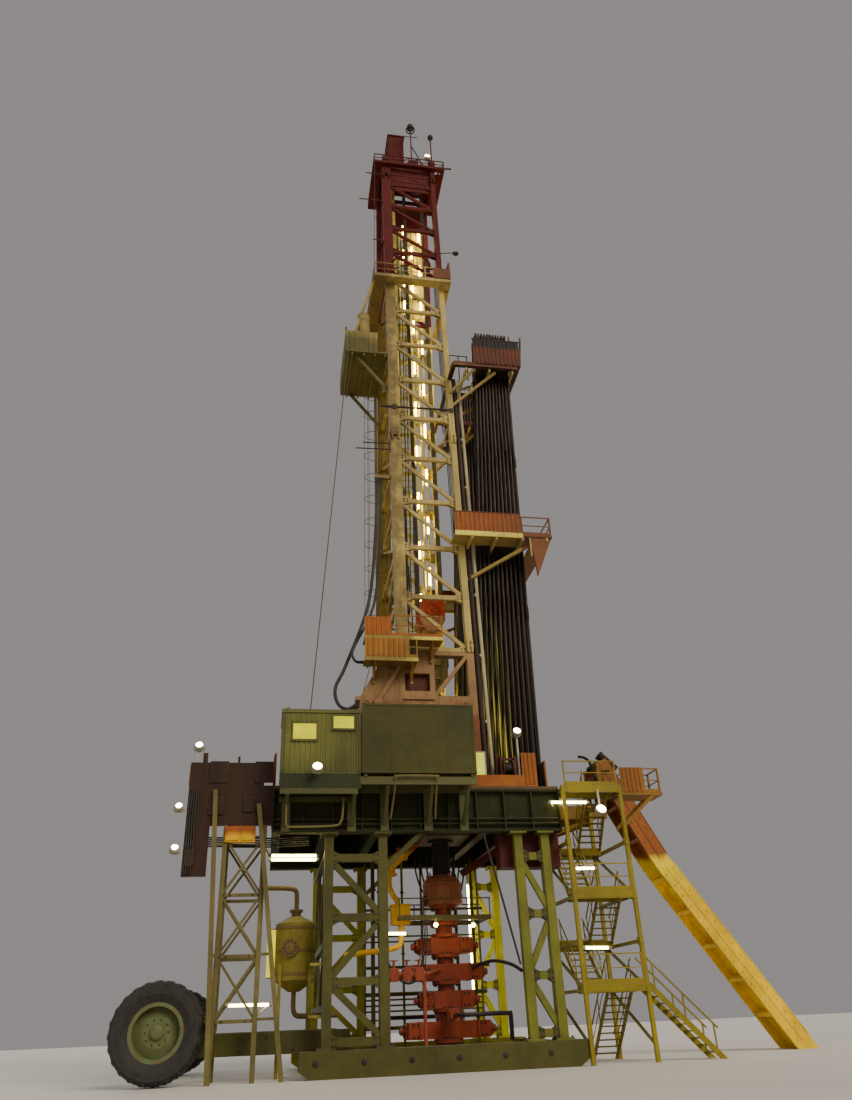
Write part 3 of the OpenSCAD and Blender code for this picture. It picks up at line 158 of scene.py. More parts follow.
class Shape:
    """Closed solids gathered into the mesh of one piece."""

    def __init__(self):
        self.points, self.faces = [], []

    def add(self, points, faces):
        base = len(self.points)
        self.points += [tuple(p) for p in points]
        self.faces += [tuple(base + i for i in face) for face in faces]
        return self

    def loft(self, rings, loop=False):
        """Skin over rings of points, each seen anticlockwise from the far end, with ends unless it loops."""
        n, m = len(rings[0]), len(rings)
        faces = [(i * n + k, i * n + (k + 1) % n, (i + 1) % m * n + (k + 1) % n, (i + 1) % m * n + k)
                 for i in range(m if loop else m - 1) for k in range(n)]
        if not loop:
            faces += [tuple(range(n - 1, -1, -1)), tuple(range((m - 1) * n, m * n))]
        return self.add([p for ring in rings for p in ring], faces)

    def box(self, x0, x1, y0, y1, z0, z1):
        return self.loft([[(x0, y0, z), (x1, y0, z), (x1, y1, z), (x0, y1, z)] for z in (z0, z1)])

    def bar(self, a, b, wide, high):
        """Bar between two points, wide across it and high in its upright plane."""
        a, b = Vector(a), Vector(b)
        side, top = across(b - a)
        corners = [side * x * wide / 2 + top * y * high / 2
                   for x, y in ((-1, -1), (1, -1), (1, 1), (-1, 1))]
        return self.loft([[end + c for c in corners] for end in (a, b)])

    def rod(self, a, b, d, sides):
        a, b = Vector(a), Vector(b)
        return self.lathe(a, b - a, [(d / 2, 0), (d / 2, (b - a).length)], sides)

    def lathe(self, at, axis, profile, sides, loop=False):
        """Turned shape: the profile is (radius, distance along the axis), outer side first."""
        side, top = across(axis)
        along, at = Vector(axis).normalized(), Vector(at)
        turns = [tau * k / sides for k in range(sides)]
        return self.loft([[at + along * h + (side * cos(t) + top * sin(t)) * r for t in turns]
                          for r, h in profile], loop)

    def ring(self, at, axis, outer, inner, thick, sides=24):
        return self.lathe(at, axis, [(outer, 0), (outer, thick), (inner, thick), (inner, 0)], sides, True)

    def tube(self, points, d, sides, loop=False):
        """Round bar along a smooth row of points."""
        points = [Vector(p) for p in points]
        last, rings, side = len(points) - 1, [], None
        for i, p in enumerate(points):
            way = (points[(i + 1) % len(points)] - points[i - 1] if loop
                   else points[min(i + 1, last)] - points[max(i - 1, 0)]).normalized()
            side = across(way)[0] if side is None else (side - way * side.dot(way)).normalized()
            top = way.cross(side)
            rings.append([p + (side * cos(t) + top * sin(t)) * d / 2
                          for t in (tau * k / sides for k in range(sides))])
        return self.loft(rings, loop)

    def bent(self, points, d, sides=8, steps=5):
        """Round bar on a smooth curve through a few points."""
        return self.tube(curve_points(points, steps), d, sides)

    def post(self, x, y, z0, z1, d, sides=8):
        return self.rod((x, y, z0), (x, y, z1), d, sides)

    def slab(self, outline, at, right, up, thick):
        """Plate cut to an outline of (right, up) points, anticlockwise seen from its front."""
        right, up, at = Vector(right), Vector(up), Vector(at)
        front = right.cross(up)
        return self.loft([[at + right * x + up * y + front * h for x, y in outline] for h in (0, thick)])

    def mirrored(self):
        """Adds the same solids on the far side of the rig."""
        points = [(x, -y, z) for x, y, z in self.points]
        return self.add(points, [tuple(reversed(face)) for face in self.faces])

    def mesh(self, name):
        mesh = bpy.data.meshes.new(name)
        mesh.from_pydata(self.points, [], self.faces)
        mesh.update()
        mesh.shade_smooth()
        mesh.set_sharp_from_angle(angle=radians(35))
        return mesh


def curve_points(points, steps):
    """Smooth row of points through a few knots."""
    knots = [Vector(p) for p in points]
    last, smooth = len(knots) - 1, []
    for i in range(last):
        a, b, c, d = knots[max(i - 1, 0)], knots[i], knots[i + 1], knots[min(i + 2, last)]
        for k in range(steps):
            t = k / steps
            smooth.append(0.5 * (2 * b + (c - a) * t + (2 * a - 5 * b + 4 * c - d) * t * t
                                 + (3 * b - a - 3 * c + d) * t ** 3))
    return smooth + [knots[-1]]


def shown(name, data):
    made = bpy.data.objects.new(name, data)
    bpy.context.scene.collection.objects.link(made)
    return made


def finish_of(name):
    if name not in FINISHES:
        raise RuntimeError("the finish " + name + " isn't made yet")
    return FINISHES[name]


def settled(made, finish, body):
    """Turns a piece and its modifiers into a plain mesh with a finish, and seats it on its body."""
    if made.modifiers:
        graph = bpy.context.evaluated_depsgraph_get()
        mesh = bpy.data.meshes.new_from_object(made.evaluated_get(graph), depsgraph=graph)
        made.modifiers.clear()
        made.data = mesh
    if not made.data.materials:
        made.data.materials.append(finish_of(finish))
    for layer in ("turn", "size", "step", "count", "radius"):
        if layer in made.data.attributes:
            made.data.attributes.remove(made.data.attributes[layer])
    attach(made, body)
    return made


def piece(name, shape, finish, body="rig", chamfer=0.0):
    made = shown(name, shape.mesh(name))
    if chamfer:
        bevel = made.modifiers.new("edges", "BEVEL")
        bevel.width, bevel.segments, bevel.limit_method = chamfer, 1, "ANGLE"
        bevel.angle_limit = radians(40)
    return settled(made, finish, body)


# Node trees that repeat a small part.

def socketed_tree(name, kind, inputs, outputs):
    tree = bpy.data.node_groups.new(name, kind)
    for label, socket, value in inputs:
        made = tree.interface.new_socket(name=label, in_out="INPUT", socket_type="NodeSocket" + socket)
        if value is not None:
            made.default_value = value
    for label, socket in outputs:
        tree.interface.new_socket(name=label, in_out="OUTPUT", socket_type="NodeSocket" + socket)
    return tree


class Graph:
    """Short ways to add nodes to a tree and join them."""

    def __init__(self, tree):
        self.tree, self.column = tree, 0

    def add(self, kind, inputs=None, **settings):
        made = self.tree.nodes.new(kind)
        self.column += 1
        made.location = (self.column * 190, -(self.column % 4) * 120)
        for key, value in settings.items():
            setattr(made, key, value)
        for key, value in (inputs or {}).items():
            self.put(made.inputs[key], value)
        return made

    def put(self, socket, value):
        if isinstance(value, bpy.types.NodeSocket):
            self.tree.links.new(value, socket)
        else:
            socket.default_value = value

    def math(self, operation, a, b=0.0, clamp=False):
        return self.add("ShaderNodeMath", {0: a, 1: b}, operation=operation, use_clamp=clamp).outputs[0]

    def times(self, a, b):
        return self.math("MULTIPLY", a, b)

    def place(self):
        return self.add("ShaderNodeTexCoord").outputs["Object"]

    def split(self, vector):
        return self.add("ShaderNodeSeparateXYZ", {0: vector}).outputs

    def ramp(self, value, low, high, start=0.0, end=1.0):
        made = self.add("ShaderNodeMapRange", {0: value, 1: low, 2: high, 3: start, 4: end})
        return made.outputs[0]

    def mix(self, factor, a, b):
        made = self.add("ShaderNodeMix", data_type="RGBA", clamp_factor=True)
        for key, value in ((0, factor), (6, a), (7, b)):
            if key and isinstance(value, tuple) and len(value) == 3:
                value = value + (1,)
            self.put(made.inputs[key], value)
        return made.outputs[2]

    def noise(self, place, scale, detail, roughness=0.55):
        return self.add("ShaderNodeTexNoise", {"Vector": place, "Scale": scale, "Detail": detail,
                                               "Roughness": roughness}).outputs[0]

    def scaled(self, place, scale, turn=(0, 0, 0)):
        return self.add("ShaderNodeMapping", {0: place, "Rotation": turn, "Scale": scale}).outputs[0]

    def brighter(self, colour, amount):
        return self.add("ShaderNodeHueSaturation", {"Value": amount, "Color": colour}).outputs[0]


def attribute(graph, name, kind):
    return graph.add("GeometryNodeInputNamedAttribute", {"Name": name}, data_type=kind).outputs[0]


def copies_tree(name, in_ring):
    """Repeats a unit from each start point, along a step or round a ring, as one real mesh."""
    tree = socketed_tree(name, "GeometryNodeTree",
                         (("Starts", "Geometry", None), ("Unit", "Object", None),
                          ("Unit Size", "Float", 1.0), ("Finish", "Material", None)),
                         (("Copies", "Geometry"),))
    graph = Graph(tree)
    given = graph.add("NodeGroupInput").outputs
    count = attribute(graph, "count", "INT")
    rows = graph.add("GeometryNodeDuplicateElements", {"Geometry": given["Starts"], "Amount": count},
                     domain="POINT")
    index = rows.outputs["Duplicate Index"]
    turned = graph.add("FunctionNodeEulerToRotation",
                       {0: attribute(graph, "turn", "FLOAT_VECTOR")}).outputs[0]
    step = attribute(graph, "step", "FLOAT_VECTOR")
    if in_ring:
        angle = graph.times(graph.math("DIVIDE", index, count), tau)
        radius = attribute(graph, "radius", "FLOAT")
        arm = graph.add("ShaderNodeCombineXYZ", {0: graph.times(graph.math("COSINE", angle), radius),
                                                 1: graph.times(graph.math("SINE", angle), radius)})
        offset = graph.add("FunctionNodeRotateVector", {0: arm.outputs[0], 1: turned}).outputs[0]
        spin = graph.add("FunctionNodeAxisAngleToRotation", {0: (0, 0, 1), 1: angle}).outputs[0]
        turned = graph.add("FunctionNodeRotateRotation", {0: turned, 1: spin},
                           rotation_space="LOCAL").outputs[0]
    else:
        offset = graph.add("ShaderNodeVectorMath", {0: step, "Scale": index}, operation="SCALE").outputs[0]
    moved = graph.add("GeometryNodeSetPosition", {"Geometry": rows.outputs["Geometry"], "Offset": offset})
    unit = graph.add("GeometryNodeObjectInfo", {"Object": given["Unit"]}, transform_space="ORIGINAL")
    size = graph.add("ShaderNodeVectorMath", {0: attribute(graph, "size", "FLOAT_VECTOR"),
                                              "Scale": given["Unit Size"]}, operation="SCALE").outputs[0]
    placed = graph.add("GeometryNodeInstanceOnPoints",
                       {"Points": moved.outputs[0], "Instance": unit.outputs["Geometry"],
                        "Rotation": turned, "Scale": size})
    real = graph.add("GeometryNodeRealizeInstances", {0: placed.outputs[0]})
    painted_copies = graph.add("GeometryNodeSetMaterial",
                               {"Geometry": real.outputs[0], "Material": given["Finish"]})
    graph.add("NodeGroupOutput", {"Copies": painted_copies.outputs[0]})
    return tree


TREES = {}


def row(at, turn=(0, 0, 0), size=(1, 1, 1), step=(0, 0, 0), count=1, radius=0):
    """Start of a row of copies: one step apart, or round a ring of this radius."""
    return dict(at=at, turn=turn, size=size, step=step, count=count, radius=radius)


def copies(name, unit, starts, finish="dark_steel", body="rig", in_ring=False):
    """One mesh of many copies of a unit, in the rows that start at the starts."""
    kind = "copies_round_rings" if in_ring else "copies_in_rows"
    if kind not in TREES:
        TREES[kind] = copies_tree(kind, in_ring)
    mesh = bpy.data.meshes.new(name)
    mesh.from_pydata([s["at"] for s in starts], [], [])
    for layer in ("turn", "size", "step"):
        made = mesh.attributes.new(layer, "FLOAT_VECTOR", "POINT")
        made.data.foreach_set("vector", [float(v) for s in starts for v in s[layer]])
    for layer, sort in (("count", "INT"), ("radius", "FLOAT")):
        mesh.attributes.new(layer, sort, "POINT").data.foreach_set("value", [s[layer] for s in starts])
    made = shown(name, mesh)
    small = shown(name + "_unit", unit.mesh(name + "_unit"))
    modifier = made.modifiers.new("copies", "NODES")
    modifier.node_group = TREES[kind]
    named = {item.name: item.identifier for item in TREES[kind].interface.items_tree
             if item.in_out == "INPUT"}
    modifier[named["Unit"]] = small
    modifier[named["Unit Size"]] = 1.0
    modifier[named["Finish"]] = finish_of(finish)
    settled(made, finish, body)
    if not made.data.polygons:
        raise RuntimeError(name + " came out empty")
    bpy.data.objects.remove(small)
    return made


def bolt_unit(d, high=0.016):
    """Hexagon head on a washer, standing up along Z."""
    shape = Shape()
    shape.lathe((0, 0, -0.004), UP, [(d * 0.62, 0), (d * 0.62, 0.007)], 10)
    return shape.lathe((0, 0, 0.002), UP, [(d / 2, 0), (d / 2, high * 0.75), (d * 0.4, high)], 6)


def rib_unit(wide=0.056, deep=0.022):
    """Pressed rib one metre tall, standing out towards the near side."""
    outline = [(-wide / 2, 0.004), (-wide * 0.28, -deep), (wide * 0.28, -deep), (wide / 2, 0.004)]
    return Shape().loft([[(x, y, z) for x, y in outline] for z in (0, 1)])


# Finishes.

def group_node(graph, tree, inputs):
    made = graph.add("ShaderNodeGroup")
    made.node_tree = tree
    for key, value in inputs.items():
        if isinstance(value, tuple) and len(value) == 3:
            value = value + (1,)
        graph.put(made.inputs[key], value)
    return made.outputs


def weathered_paint_group():
    """Paint outdoors: uneven tone, rust runs, chips along edges, dust on top faces."""
    tree = socketed_tree("weathered_paint", "ShaderNodeTree",
                         (("Paint", "Color", (0.3, 0.3, 0.3, 1)),
                          ("Run Colour", "Color", (0.1, 0.05, 0.02, 1)), ("Runs", "Float", 0.4),
                          ("Chips", "Float", 0.4), ("Dust", "Float", 0.3), ("Gloss", "Float", 0.5)),
                         (("Colour", "Color"), ("Roughness", "Float"), ("Bare", "Float"),
                          ("Height", "Float")))
    graph = Graph(tree)
    given = graph.add("NodeGroupInput").outputs
    place = graph.place()
    facing = graph.add("ShaderNodeNewGeometry").outputs["Normal"]
    broad = graph.noise(place, 0.8, 3)
    patch = graph.noise(place, 5.0, 5, 0.62)
    fine = graph.noise(place, 70.0, 2)
    runs = graph.noise(graph.scaled(place, (8, 8, 0.4)), 1.6, 5, 0.6)
    tone = graph.brighter(given["Paint"], graph.ramp(broad, 0.32, 0.68, 0.72, 1.22))
    tone = graph.brighter(tone, graph.ramp(patch, 0.3, 0.7, 0.82, 1.14))
    rounded = graph.add("ShaderNodeBevel", {"Radius": 0.014}, samples=4).outputs[0]
    bend = graph.add("ShaderNodeVectorMath", {0: rounded, 1: facing},
                     operation="DOT_PRODUCT").outputs["Value"]
    edge = graph.ramp(bend, 0.995, 0.9)
    chip = graph.times(graph.ramp(graph.math("ADD", fine, graph.times(edge, 0.28)), 0.62, 0.7),
                       given["Chips"])
    chip = graph.times(chip, graph.ramp(patch, 0.4, 0.6, 0.25, 1.0))
    run = graph.times(graph.times(graph.ramp(runs, 0.5, 0.72), given["Runs"]),
                      graph.ramp(patch, 0.35, 0.6, 0.3, 1.0))
    top = graph.split(facing)[2]
    dust = graph.times(graph.times(graph.ramp(top, 0.35, 0.95), given["Dust"]),
                       graph.ramp(patch, 0.25, 0.65, 0.35, 1.0))
    colour = graph.mix(run, tone, given["Run Colour"])
    worn = graph.mix(graph.ramp(fine, 0.4, 0.6), (0.09, 0.035, 0.014), (0.24, 0.2, 0.16))
    colour = graph.mix(chip, colour, worn)
    colour = graph.mix(dust, colour, (0.3, 0.24, 0.17))
    rough = graph.math("ADD", graph.math("SUBTRACT", 0.9, graph.times(given["Gloss"], 0.7)),
                       graph.math("ADD", graph.times(patch, 0.18), graph.times(dust, 0.2)), clamp=True)
    height = graph.math("SUBTRACT", graph.math("ADD", graph.times(fine, 0.12), graph.times(patch, 0.5)),
                        graph.times(chip, 0.4))
    graph.add("NodeGroupOutput", {"Colour": colour, "Roughness": rough,
                                  "Bare": graph.times(chip, 0.35), "Height": height})
    return tree


def plate_pattern_group():
    """Raised bars of chequer plate, and the holes of open grating, on level faces."""
    tree = socketed_tree("plate_pattern", "ShaderNodeTree", (("Pitch", "Float", 1.0),),
                         (("Bars", "Float"), ("Holes", "Float")))
    graph = Graph(tree)
    given = graph.add("NodeGroupInput").outputs
    place = graph.place()
    facing = graph.add("ShaderNodeNewGeometry").outputs["Normal"]
    level = graph.ramp(graph.math("ABSOLUTE", graph.split(facing)[2]), 0.7, 0.8)
    sized = graph.add("ShaderNodeVectorMath", {0: place, "Scale": given["Pitch"]},
                      operation="SCALE").outputs[0]
    brick = graph.add("ShaderNodeTexBrick", {"Vector": graph.scaled(sized, (1, 1, 0.01), (0, 0, 0.785)),
                                             "Scale": 9.0, "Mortar Size": 0.07, "Mortar Smooth": 0.3,
                                             "Brick Width": 0.5, "Row Height": 0.22})
    bars = graph.times(graph.math("SUBTRACT", 1.0, brick.outputs[1]), level)
    x, y, _ = graph.split(sized)
    slats = graph.ramp(graph.math("PINGPONG", x, 0.02), 0.004, 0.007)
    ties = graph.ramp(graph.math("PINGPONG", y, 0.06), 0.004, 0.008)
    holes = graph.times(graph.times(slats, ties), level)
    graph.add("NodeGroupOutput", {"Bars": bars, "Holes": holes})
    return tree


def rope_lay_group():
    """Diagonal strands of wire rope and the grease in them."""
    tree = socketed_tree("rope_lay", "ShaderNodeTree", (("Steel", "Color", (0.2, 0.2, 0.2, 1)),),
                         (("Colour", "Color"), ("Height", "Float")))
    graph = Graph(tree)
    given = graph.add("NodeGroupInput").outputs
    place = graph.place()
    x, y, z = graph.split(place)
    slant = graph.math("ADD", graph.times(graph.math("ADD", x, y), 160), graph.times(z, 120))
    strand = graph.ramp(graph.math("SINE", slant), -0.9, 0.9)
    grease = graph.noise(place, 14.0, 4)
    colour = graph.mix(strand, (0.02, 0.018, 0.015), given["Steel"])
    graph.add("NodeGroupOutput", {"Colour": graph.brighter(colour, graph.ramp(grease, 0.3, 0.7, 0.6, 1.3)),
                                  "Height": strand})
    return tree


def new_material(name):
    material = bpy.data.materials.new(name)
    material.use_nodes = True
    material.node_tree.nodes.clear()
    FINISHES[name] = material
    return Graph(material.node_tree)


def shader(graph, colour, rough, metal=0.0, height=None, bump=0.3, **constants):
    inputs = {"Base Color": colour + (1,) if isinstance(colour, tuple) else colour, "Roughness": rough,
              "Metallic": metal}
    inputs.update(constants)
    if height is not None:
        inputs["Normal"] = graph.add("ShaderNodeBump", {"Strength": bump, "Distance": 0.01,
                                                        "Height": height}).outputs[0]
    made = graph.add("ShaderNodeBsdfPrincipled", inputs)
    graph.add("ShaderNodeOutputMaterial", {"Surface": made.outputs[0]})
    return made


def painted(name, colour, runs, chips, dust, gloss=0.5, zones=(), plate=None,
            run_colour=(0.07, 0.03, 0.012)):
    """Weathered paint, on chequer plate or open grating if plate says so.

    Each zone is (axis, start, end, colour), where the paint turns to another colour.
    """
    graph = new_material(name)
    paint = tuple(colour) + (1,)
    if zones:
        place = graph.place()
        parts = graph.split(place)
        drift = graph.ramp(graph.noise(place, 2.5, 3), 0.3, 0.7, -0.5, 0.5)
        for axis, start, end, other in zones:
            soft = graph.math("ADD", parts[axis], graph.times(drift, abs(end - start)))
            paint = graph.mix(graph.ramp(soft, start, end), paint, other)
    made = group_node(graph, GROUPS["paint"], {"Paint": paint, "Run Colour": run_colour, "Runs": runs,
                                               "Chips": chips, "Dust": dust, "Gloss": gloss})
    base, height, bump = made["Colour"], made["Height"], 0.35
    if plate:
        cut = group_node(graph, GROUPS["plate"], {"Pitch": 1.0})
        if plate == "grating":
            base = graph.mix(cut["Holes"], base, (0.012, 0.011, 0.009))
            height = graph.math("SUBTRACT", height, cut["Holes"])
        else:
            base = graph.mix(graph.times(cut["Bars"], 0.35), base, (0.32, 0.28, 0.22))
            height = graph.math("ADD", height, graph.times(cut["Bars"], 0.8))
    shader(graph, base, made["Roughness"], made["Bare"], height, bump, **{"Specular IOR Level": 0.28})


def glowing(name, colour, strength, centre_scale=6.0):
    """Lit glass or diffuser, a little uneven."""
    graph = new_material(name)
    place = graph.place()
    uneven = graph.ramp(graph.noise(place, centre_scale, 2), 0.3, 0.7, 0.8, 1.1)
    light = graph.brighter(tuple(colour) + (1,), uneven)
    lit = {"Emission Color": light, "Emission Strength": strength}
    shader(graph, tuple(v * 0.06 for v in colour), 0.25, **lit)


def make_finishes(sizes):
    GROUPS.update(paint=weathered_paint_group(), plate=plate_pattern_group(), rope=rope_lay_group())
    cream, green = tuple(sizes.mast_cream), tuple(sizes.frame_green)
    orange = tuple(sizes.wall_orange)
    painted("dark_green_paint", sizes.girder_green, 0.3, 0.3, 0.3, gloss=0.3)
    painted("beam_paint", rgb(78, 22, 12), 0.3, 0.4, 0.4,
            zones=((2, 4.5, 4.52, tuple(sizes.girder_green)),))
    # On the far side, from y 1.6 to 2.2, the frame green turns yellow-green: painted lamp light.
    painted("green_paint", green, 0.5, 0.5, 0.4,
            zones=((1, 1.6, 2.2, between(green, rgb(176, 168, 40), 0.6)),))
    painted("tower_paint", rgb(104, 94, 52), 0.45, 0.4, 0.3)
    painted("bracket_paint", rgb(78, 78, 42), 0.35, 0.4, 0.3)
    painted("doghouse_paint", sizes.doghouse_green, 0.4, 0.35, 0.3,
            zones=((0, -3.0, -2.2, between(tuple(sizes.doghouse_green), rgb(62, 62, 24), 0.7)),))
    painted("cabin_green_paint", sizes.cabin_green, 0.22, 0.25, 0.3)
    painted("skirt_paint", rgb(44, 50, 22), 0.3, 0.4, 0.3)
    # From x -0.5 to -1.15 the cream turns darker brown towards the rear: painted shade of the mast's rear
    # legs and everything behind them.
    painted("cream_paint", cream, 0.55, 0.4, 0.3,
            zones=((0, -0.5, -1.15, between(cream, rgb(98, 78, 38), 0.8)),))
    # A brighter, yellower copy of the cream for the far side and back of the mast: painted lamp light.
    # Towards the rear it turns darker: painted shade.
    painted("inner_cream_paint", rgb(214, 196, 84), 0.45, 0.4, 0.2,
            zones=((0, -0.6, -1.1, rgb(132, 112, 48)),))
    painted("basket_paint", rgb(136, 118, 62), 0.5, 0.4, 0.3, zones=((2, 19.3, 18.9, rgb(96, 88, 36)),))
    # Above z 18.42 the board turns dark brown: a painted shade band.
    painted("board_paint", rgb(92, 42, 12), 0.4, 0.45, 0.3, plate="grating",
            zones=((2, 17.75, 17.3, rgb(150, 128, 66)), (2, 18.42, 18.46, rgb(34, 22, 14))))
    painted("mid_deck_paint", rgb(150, 126, 60), 0.5, 0.45, 0.3, plate="chequer",
            zones=((0, 2.06, 2.12, rgb(112, 66, 26)), (2, 11.93, 11.95, rgb(122, 66, 20))))
    painted("mast_base_paint", rgb(112, 62, 28), 0.6, 0.45, 0.3, zones=((2, 7.0, 7.6, rgb(136, 104, 64)),))
    painted("dark_red_paint", sizes.crown_red, 0.3, 0.2, 0.1, gloss=0.3)
    painted("orange_paint", orange, 0.5, 0.5, 0.3)
    painted("lower_deck_paint", orange, 0.5, 0.5, 0.3, plate="chequer",
            zones=((2, 8.95, 8.82, rgb(142, 104, 30)),))
    # From z 18.42 up to 18.87 the wall turns dark brown: a painted shade band.
    painted("board_wall_paint", rgb(92, 42, 12), 0.4, 0.45, 0.3,
            zones=((2, 18.42, 18.46, rgb(34, 22, 14)), (2, 18.85, 18.87, rgb(110, 58, 22))))
    painted("porch_paint", rgb(126, 88, 18), 0.45, 0.5, 0.4, plate="chequer")
    painted("winch_paint", rgb(80, 34, 18), 0.4, 0.5, 0.3)
    painted("block_paint", rgb(200, 76, 28), 0.45, 0.55, 0.2, gloss=0.7,
            zones=((2, 10.46, 10.42, rgb(186, 128, 76)),))
    painted("slide_paint", sizes.slide_yellow, 0.2, 0.4, 0.1, gloss=0.6,
            zones=((2, 3.3, 3.9, rgb(255, 222, 0)), (2, 4.1, 4.3, rgb(146, 82, 24))))
    painted("stair_paint", rgb(134, 118, 18), 0.4, 0.45, 0.3, plate="grating")
    painted("tank_paint", rgb(134, 122, 44), 0.5, 0.4, 0.3)
    painted("bop_red_paint", sizes.preventer_red, 0.55, 0.6, 0.5, gloss=0.65,
            run_colour=(0.05, 0.025, 0.015),
            zones=((2, 3.17, 3.21, rgb(168, 98, 64)), (2, 3.85, 3.87, rgb(48, 36, 24))))
    # Lighter yellow-green copies of the frame green for the far and near front columns: painted lamp light.
    painted("lit_green_paint", rgb(196, 190, 40), 0.4, 0.4, 0.3)
    painted("stair_side_green_paint", rgb(104, 104, 30), 0.45, 0.4, 0.3)
    painted("flow_paint", rgb(220, 164, 8), 0.3, 0.4, 0.3, zones=((2, 4.28, 4.38, rgb(150, 78, 22)),))
    painted("deck_steel", rgb(84, 68, 42), 0.3, 0.5, 0.5, gloss=0.45, plate="chequer")
    painted("rear_deck_paint", rgb(50, 30, 12), 0.4, 0.5, 0.4, plate="chequer")
    painted("standpipe_paint", rgb(44, 32, 22), 0.4, 0.4, 0.2,
            zones=((0, 0.835, 0.84, rgb(166, 154, 116)),))
    painted("lamp_housing", rgb(168, 164, 140), 0.2, 0.3, 0.3)
    painted("dark_steel", rgb(42, 36, 30), 0.3, 0.5, 0.3, gloss=0.6, run_colour=(0.06, 0.03, 0.015))

    graph = new_material("racked_steel")
    place = graph.place()
    stand = graph.noise(graph.scaled(place, (9, 9, 0.03)), 3.0, 2)
    mill = graph.noise(graph.scaled(place, (30, 30, 1.2)), 1.5, 5, 0.65)
    x, _, z = graph.split(place)
    low = graph.times(graph.ramp(z, 10.0, 6.2), graph.ramp(x, 1.62, 1.35))
    tone = graph.mix(graph.ramp(stand, 0.35, 0.65), rgb(22, 15, 9), rgb(48, 35, 21))
    tone = graph.mix(graph.times(graph.ramp(stand, 0.48, 0.56), low), tone, rgb(178, 168, 66))
    tone = graph.mix(graph.times(graph.ramp(mill, 0.52, 0.72), 0.4), tone, rgb(82, 42, 20))
    shader(graph, tone, graph.ramp(mill, 0.3, 0.7, 0.38, 0.7), 0.5, mill, 0.3)

    for name, tint in (("wire_rope", rgb(104, 98, 88)), ("drum_rope", rgb(120, 112, 98))):
        graph = new_material(name)
        lay = group_node(graph, GROUPS["rope"], {"Steel": tint})
        shader(graph, lay["Colour"], 0.48, 0.75, lay["Height"], 0.6)

    graph = new_material("hose_rubber")
    place = graph.place()
    dusty = graph.noise(place, 9.0, 4)
    wrap = graph.math("SINE", graph.times(graph.split(place)[2], 260))
    shader(graph, graph.mix(graph.ramp(dusty, 0.4, 0.75), rgb(26, 25, 24), rgb(66, 60, 50)),
           graph.ramp(dusty, 0.3, 0.7, 0.5, 0.8), 0.0, graph.times(wrap, 0.5), 0.25)

    graph = new_material("tyre_rubber")
    place = graph.place()
    x, _, z = graph.split(place)
    x2, z2 = (graph.math("POWER", graph.math("SUBTRACT", v, hub), 2.0)
              for v, hub in ((x, WHEEL_X), (z, WHEEL_Z)))
    out = graph.math("POWER", graph.math("ADD", x2, z2), 0.5)
    rim = graph.ramp(out, 0.497, 0.493)
    dusty = graph.noise(place, 8.0, 5, 0.6)
    rubber = graph.mix(graph.ramp(dusty, 0.35, 0.7), rgb(20, 20, 19), rgb(56, 50, 40))
    steel = graph.mix(graph.ramp(dusty, 0.35, 0.75), rgb(84, 100, 58), rgb(96, 76, 48))
    rings = graph.math("SINE", graph.times(out, 300))
    shader(graph, graph.mix(rim, rubber, steel), graph.ramp(dusty, 0.3, 0.7, 0.6, 0.9), 0.0,
           graph.times(rings, graph.ramp(rim, 1.0, 0.0)), 0.12)

    glowing("lit_window", rgb(255, 244, 20), 0.85, 3.0)
    # The lit panel colour also glows on the sheet beside the tank, as a painted reflection.
    glowing("lit_panel", rgb(255, 244, 60), 1.0, 3.0)
    glowing("lamp_lens", rgb(255, 246, 190), sizes.lamp_strength)
    glowing("tube_glow", rgb(255, 240, 150), sizes.lamp_strength)
    glowing("mast_glow", rgb(255, 214, 60), sizes.lamp_strength * 2.2)


def dress_nodes():
    """Gives each node of the model its finish."""
    slots = {part["node"]: part["material_slot"] for part in frame["record"]["subparts"]}
    for name, made in frame["nodes"].items():
        finish = finish_of(NODE_FINISH.get(name, slots[name]))
        for slot in made.material_slots:
            slot.material = finish
        if not made.material_slots:
            made.data.materials.append(finish)


# The camera and the cords.

def place_camera():
    turn, tilt, roll = (radians(v) for v in (CAMERA_TURN, CAMERA_TILT, CAMERA_ROLL))
    forward = Vector((sin(turn) * cos(tilt), cos(turn) * cos(tilt), sin(tilt)))
    level = Vector((cos(turn), -sin(turn), 0))
    upward = level.cross(forward)
    right = level * cos(roll) - upward * sin(roll)
    top = level * sin(roll) + upward * cos(roll)
    camera = shown("camera", bpy.data.cameras.new("camera"))
    turned = Matrix((right, top, -forward)).transposed().to_4x4()
    camera.matrix_world = Matrix.Translation(CAMERA_AT) @ turned
    camera.data.sensor_fit = "AUTO"
    camera.data.sensor_width = 36
    camera.data.lens = 36 * FOCAL_PX / PHOTO_H
    camera.data.shift_y = SHIFT_PX / PHOTO_H
    camera.data.clip_end = 500
    bpy.context.scene.camera = camera
    return camera


def hose_curve(name, points, diameter):
    """Curve through the points, with the same bends between them as the model's tube."""
    curve = bpy.data.curves.new(name, "CURVE")
    curve.dimensions = "3D"
    curve.resolution_u = 16
    curve.bevel_depth = diameter / 2
    curve.bevel_resolution = 4
    curve.use_fill_caps = True
    spline = curve.splines.new("BEZIER")
    spline.bezier_points.add(len(points) - 1)
    places = [Vector(p) for p in points]
    last = len(places) - 1
    for i, knot in enumerate(spline.bezier_points):
        along = (places[min(i + 1, last)] - places[max(i - 1, 0)]) / 6
        knot.handle_left_type = knot.handle_right_type = "FREE"
        knot.co = places[i]
        knot.handle_left = places[i] - along
        knot.handle_right = places[i] + along
    return shown(name, curve)


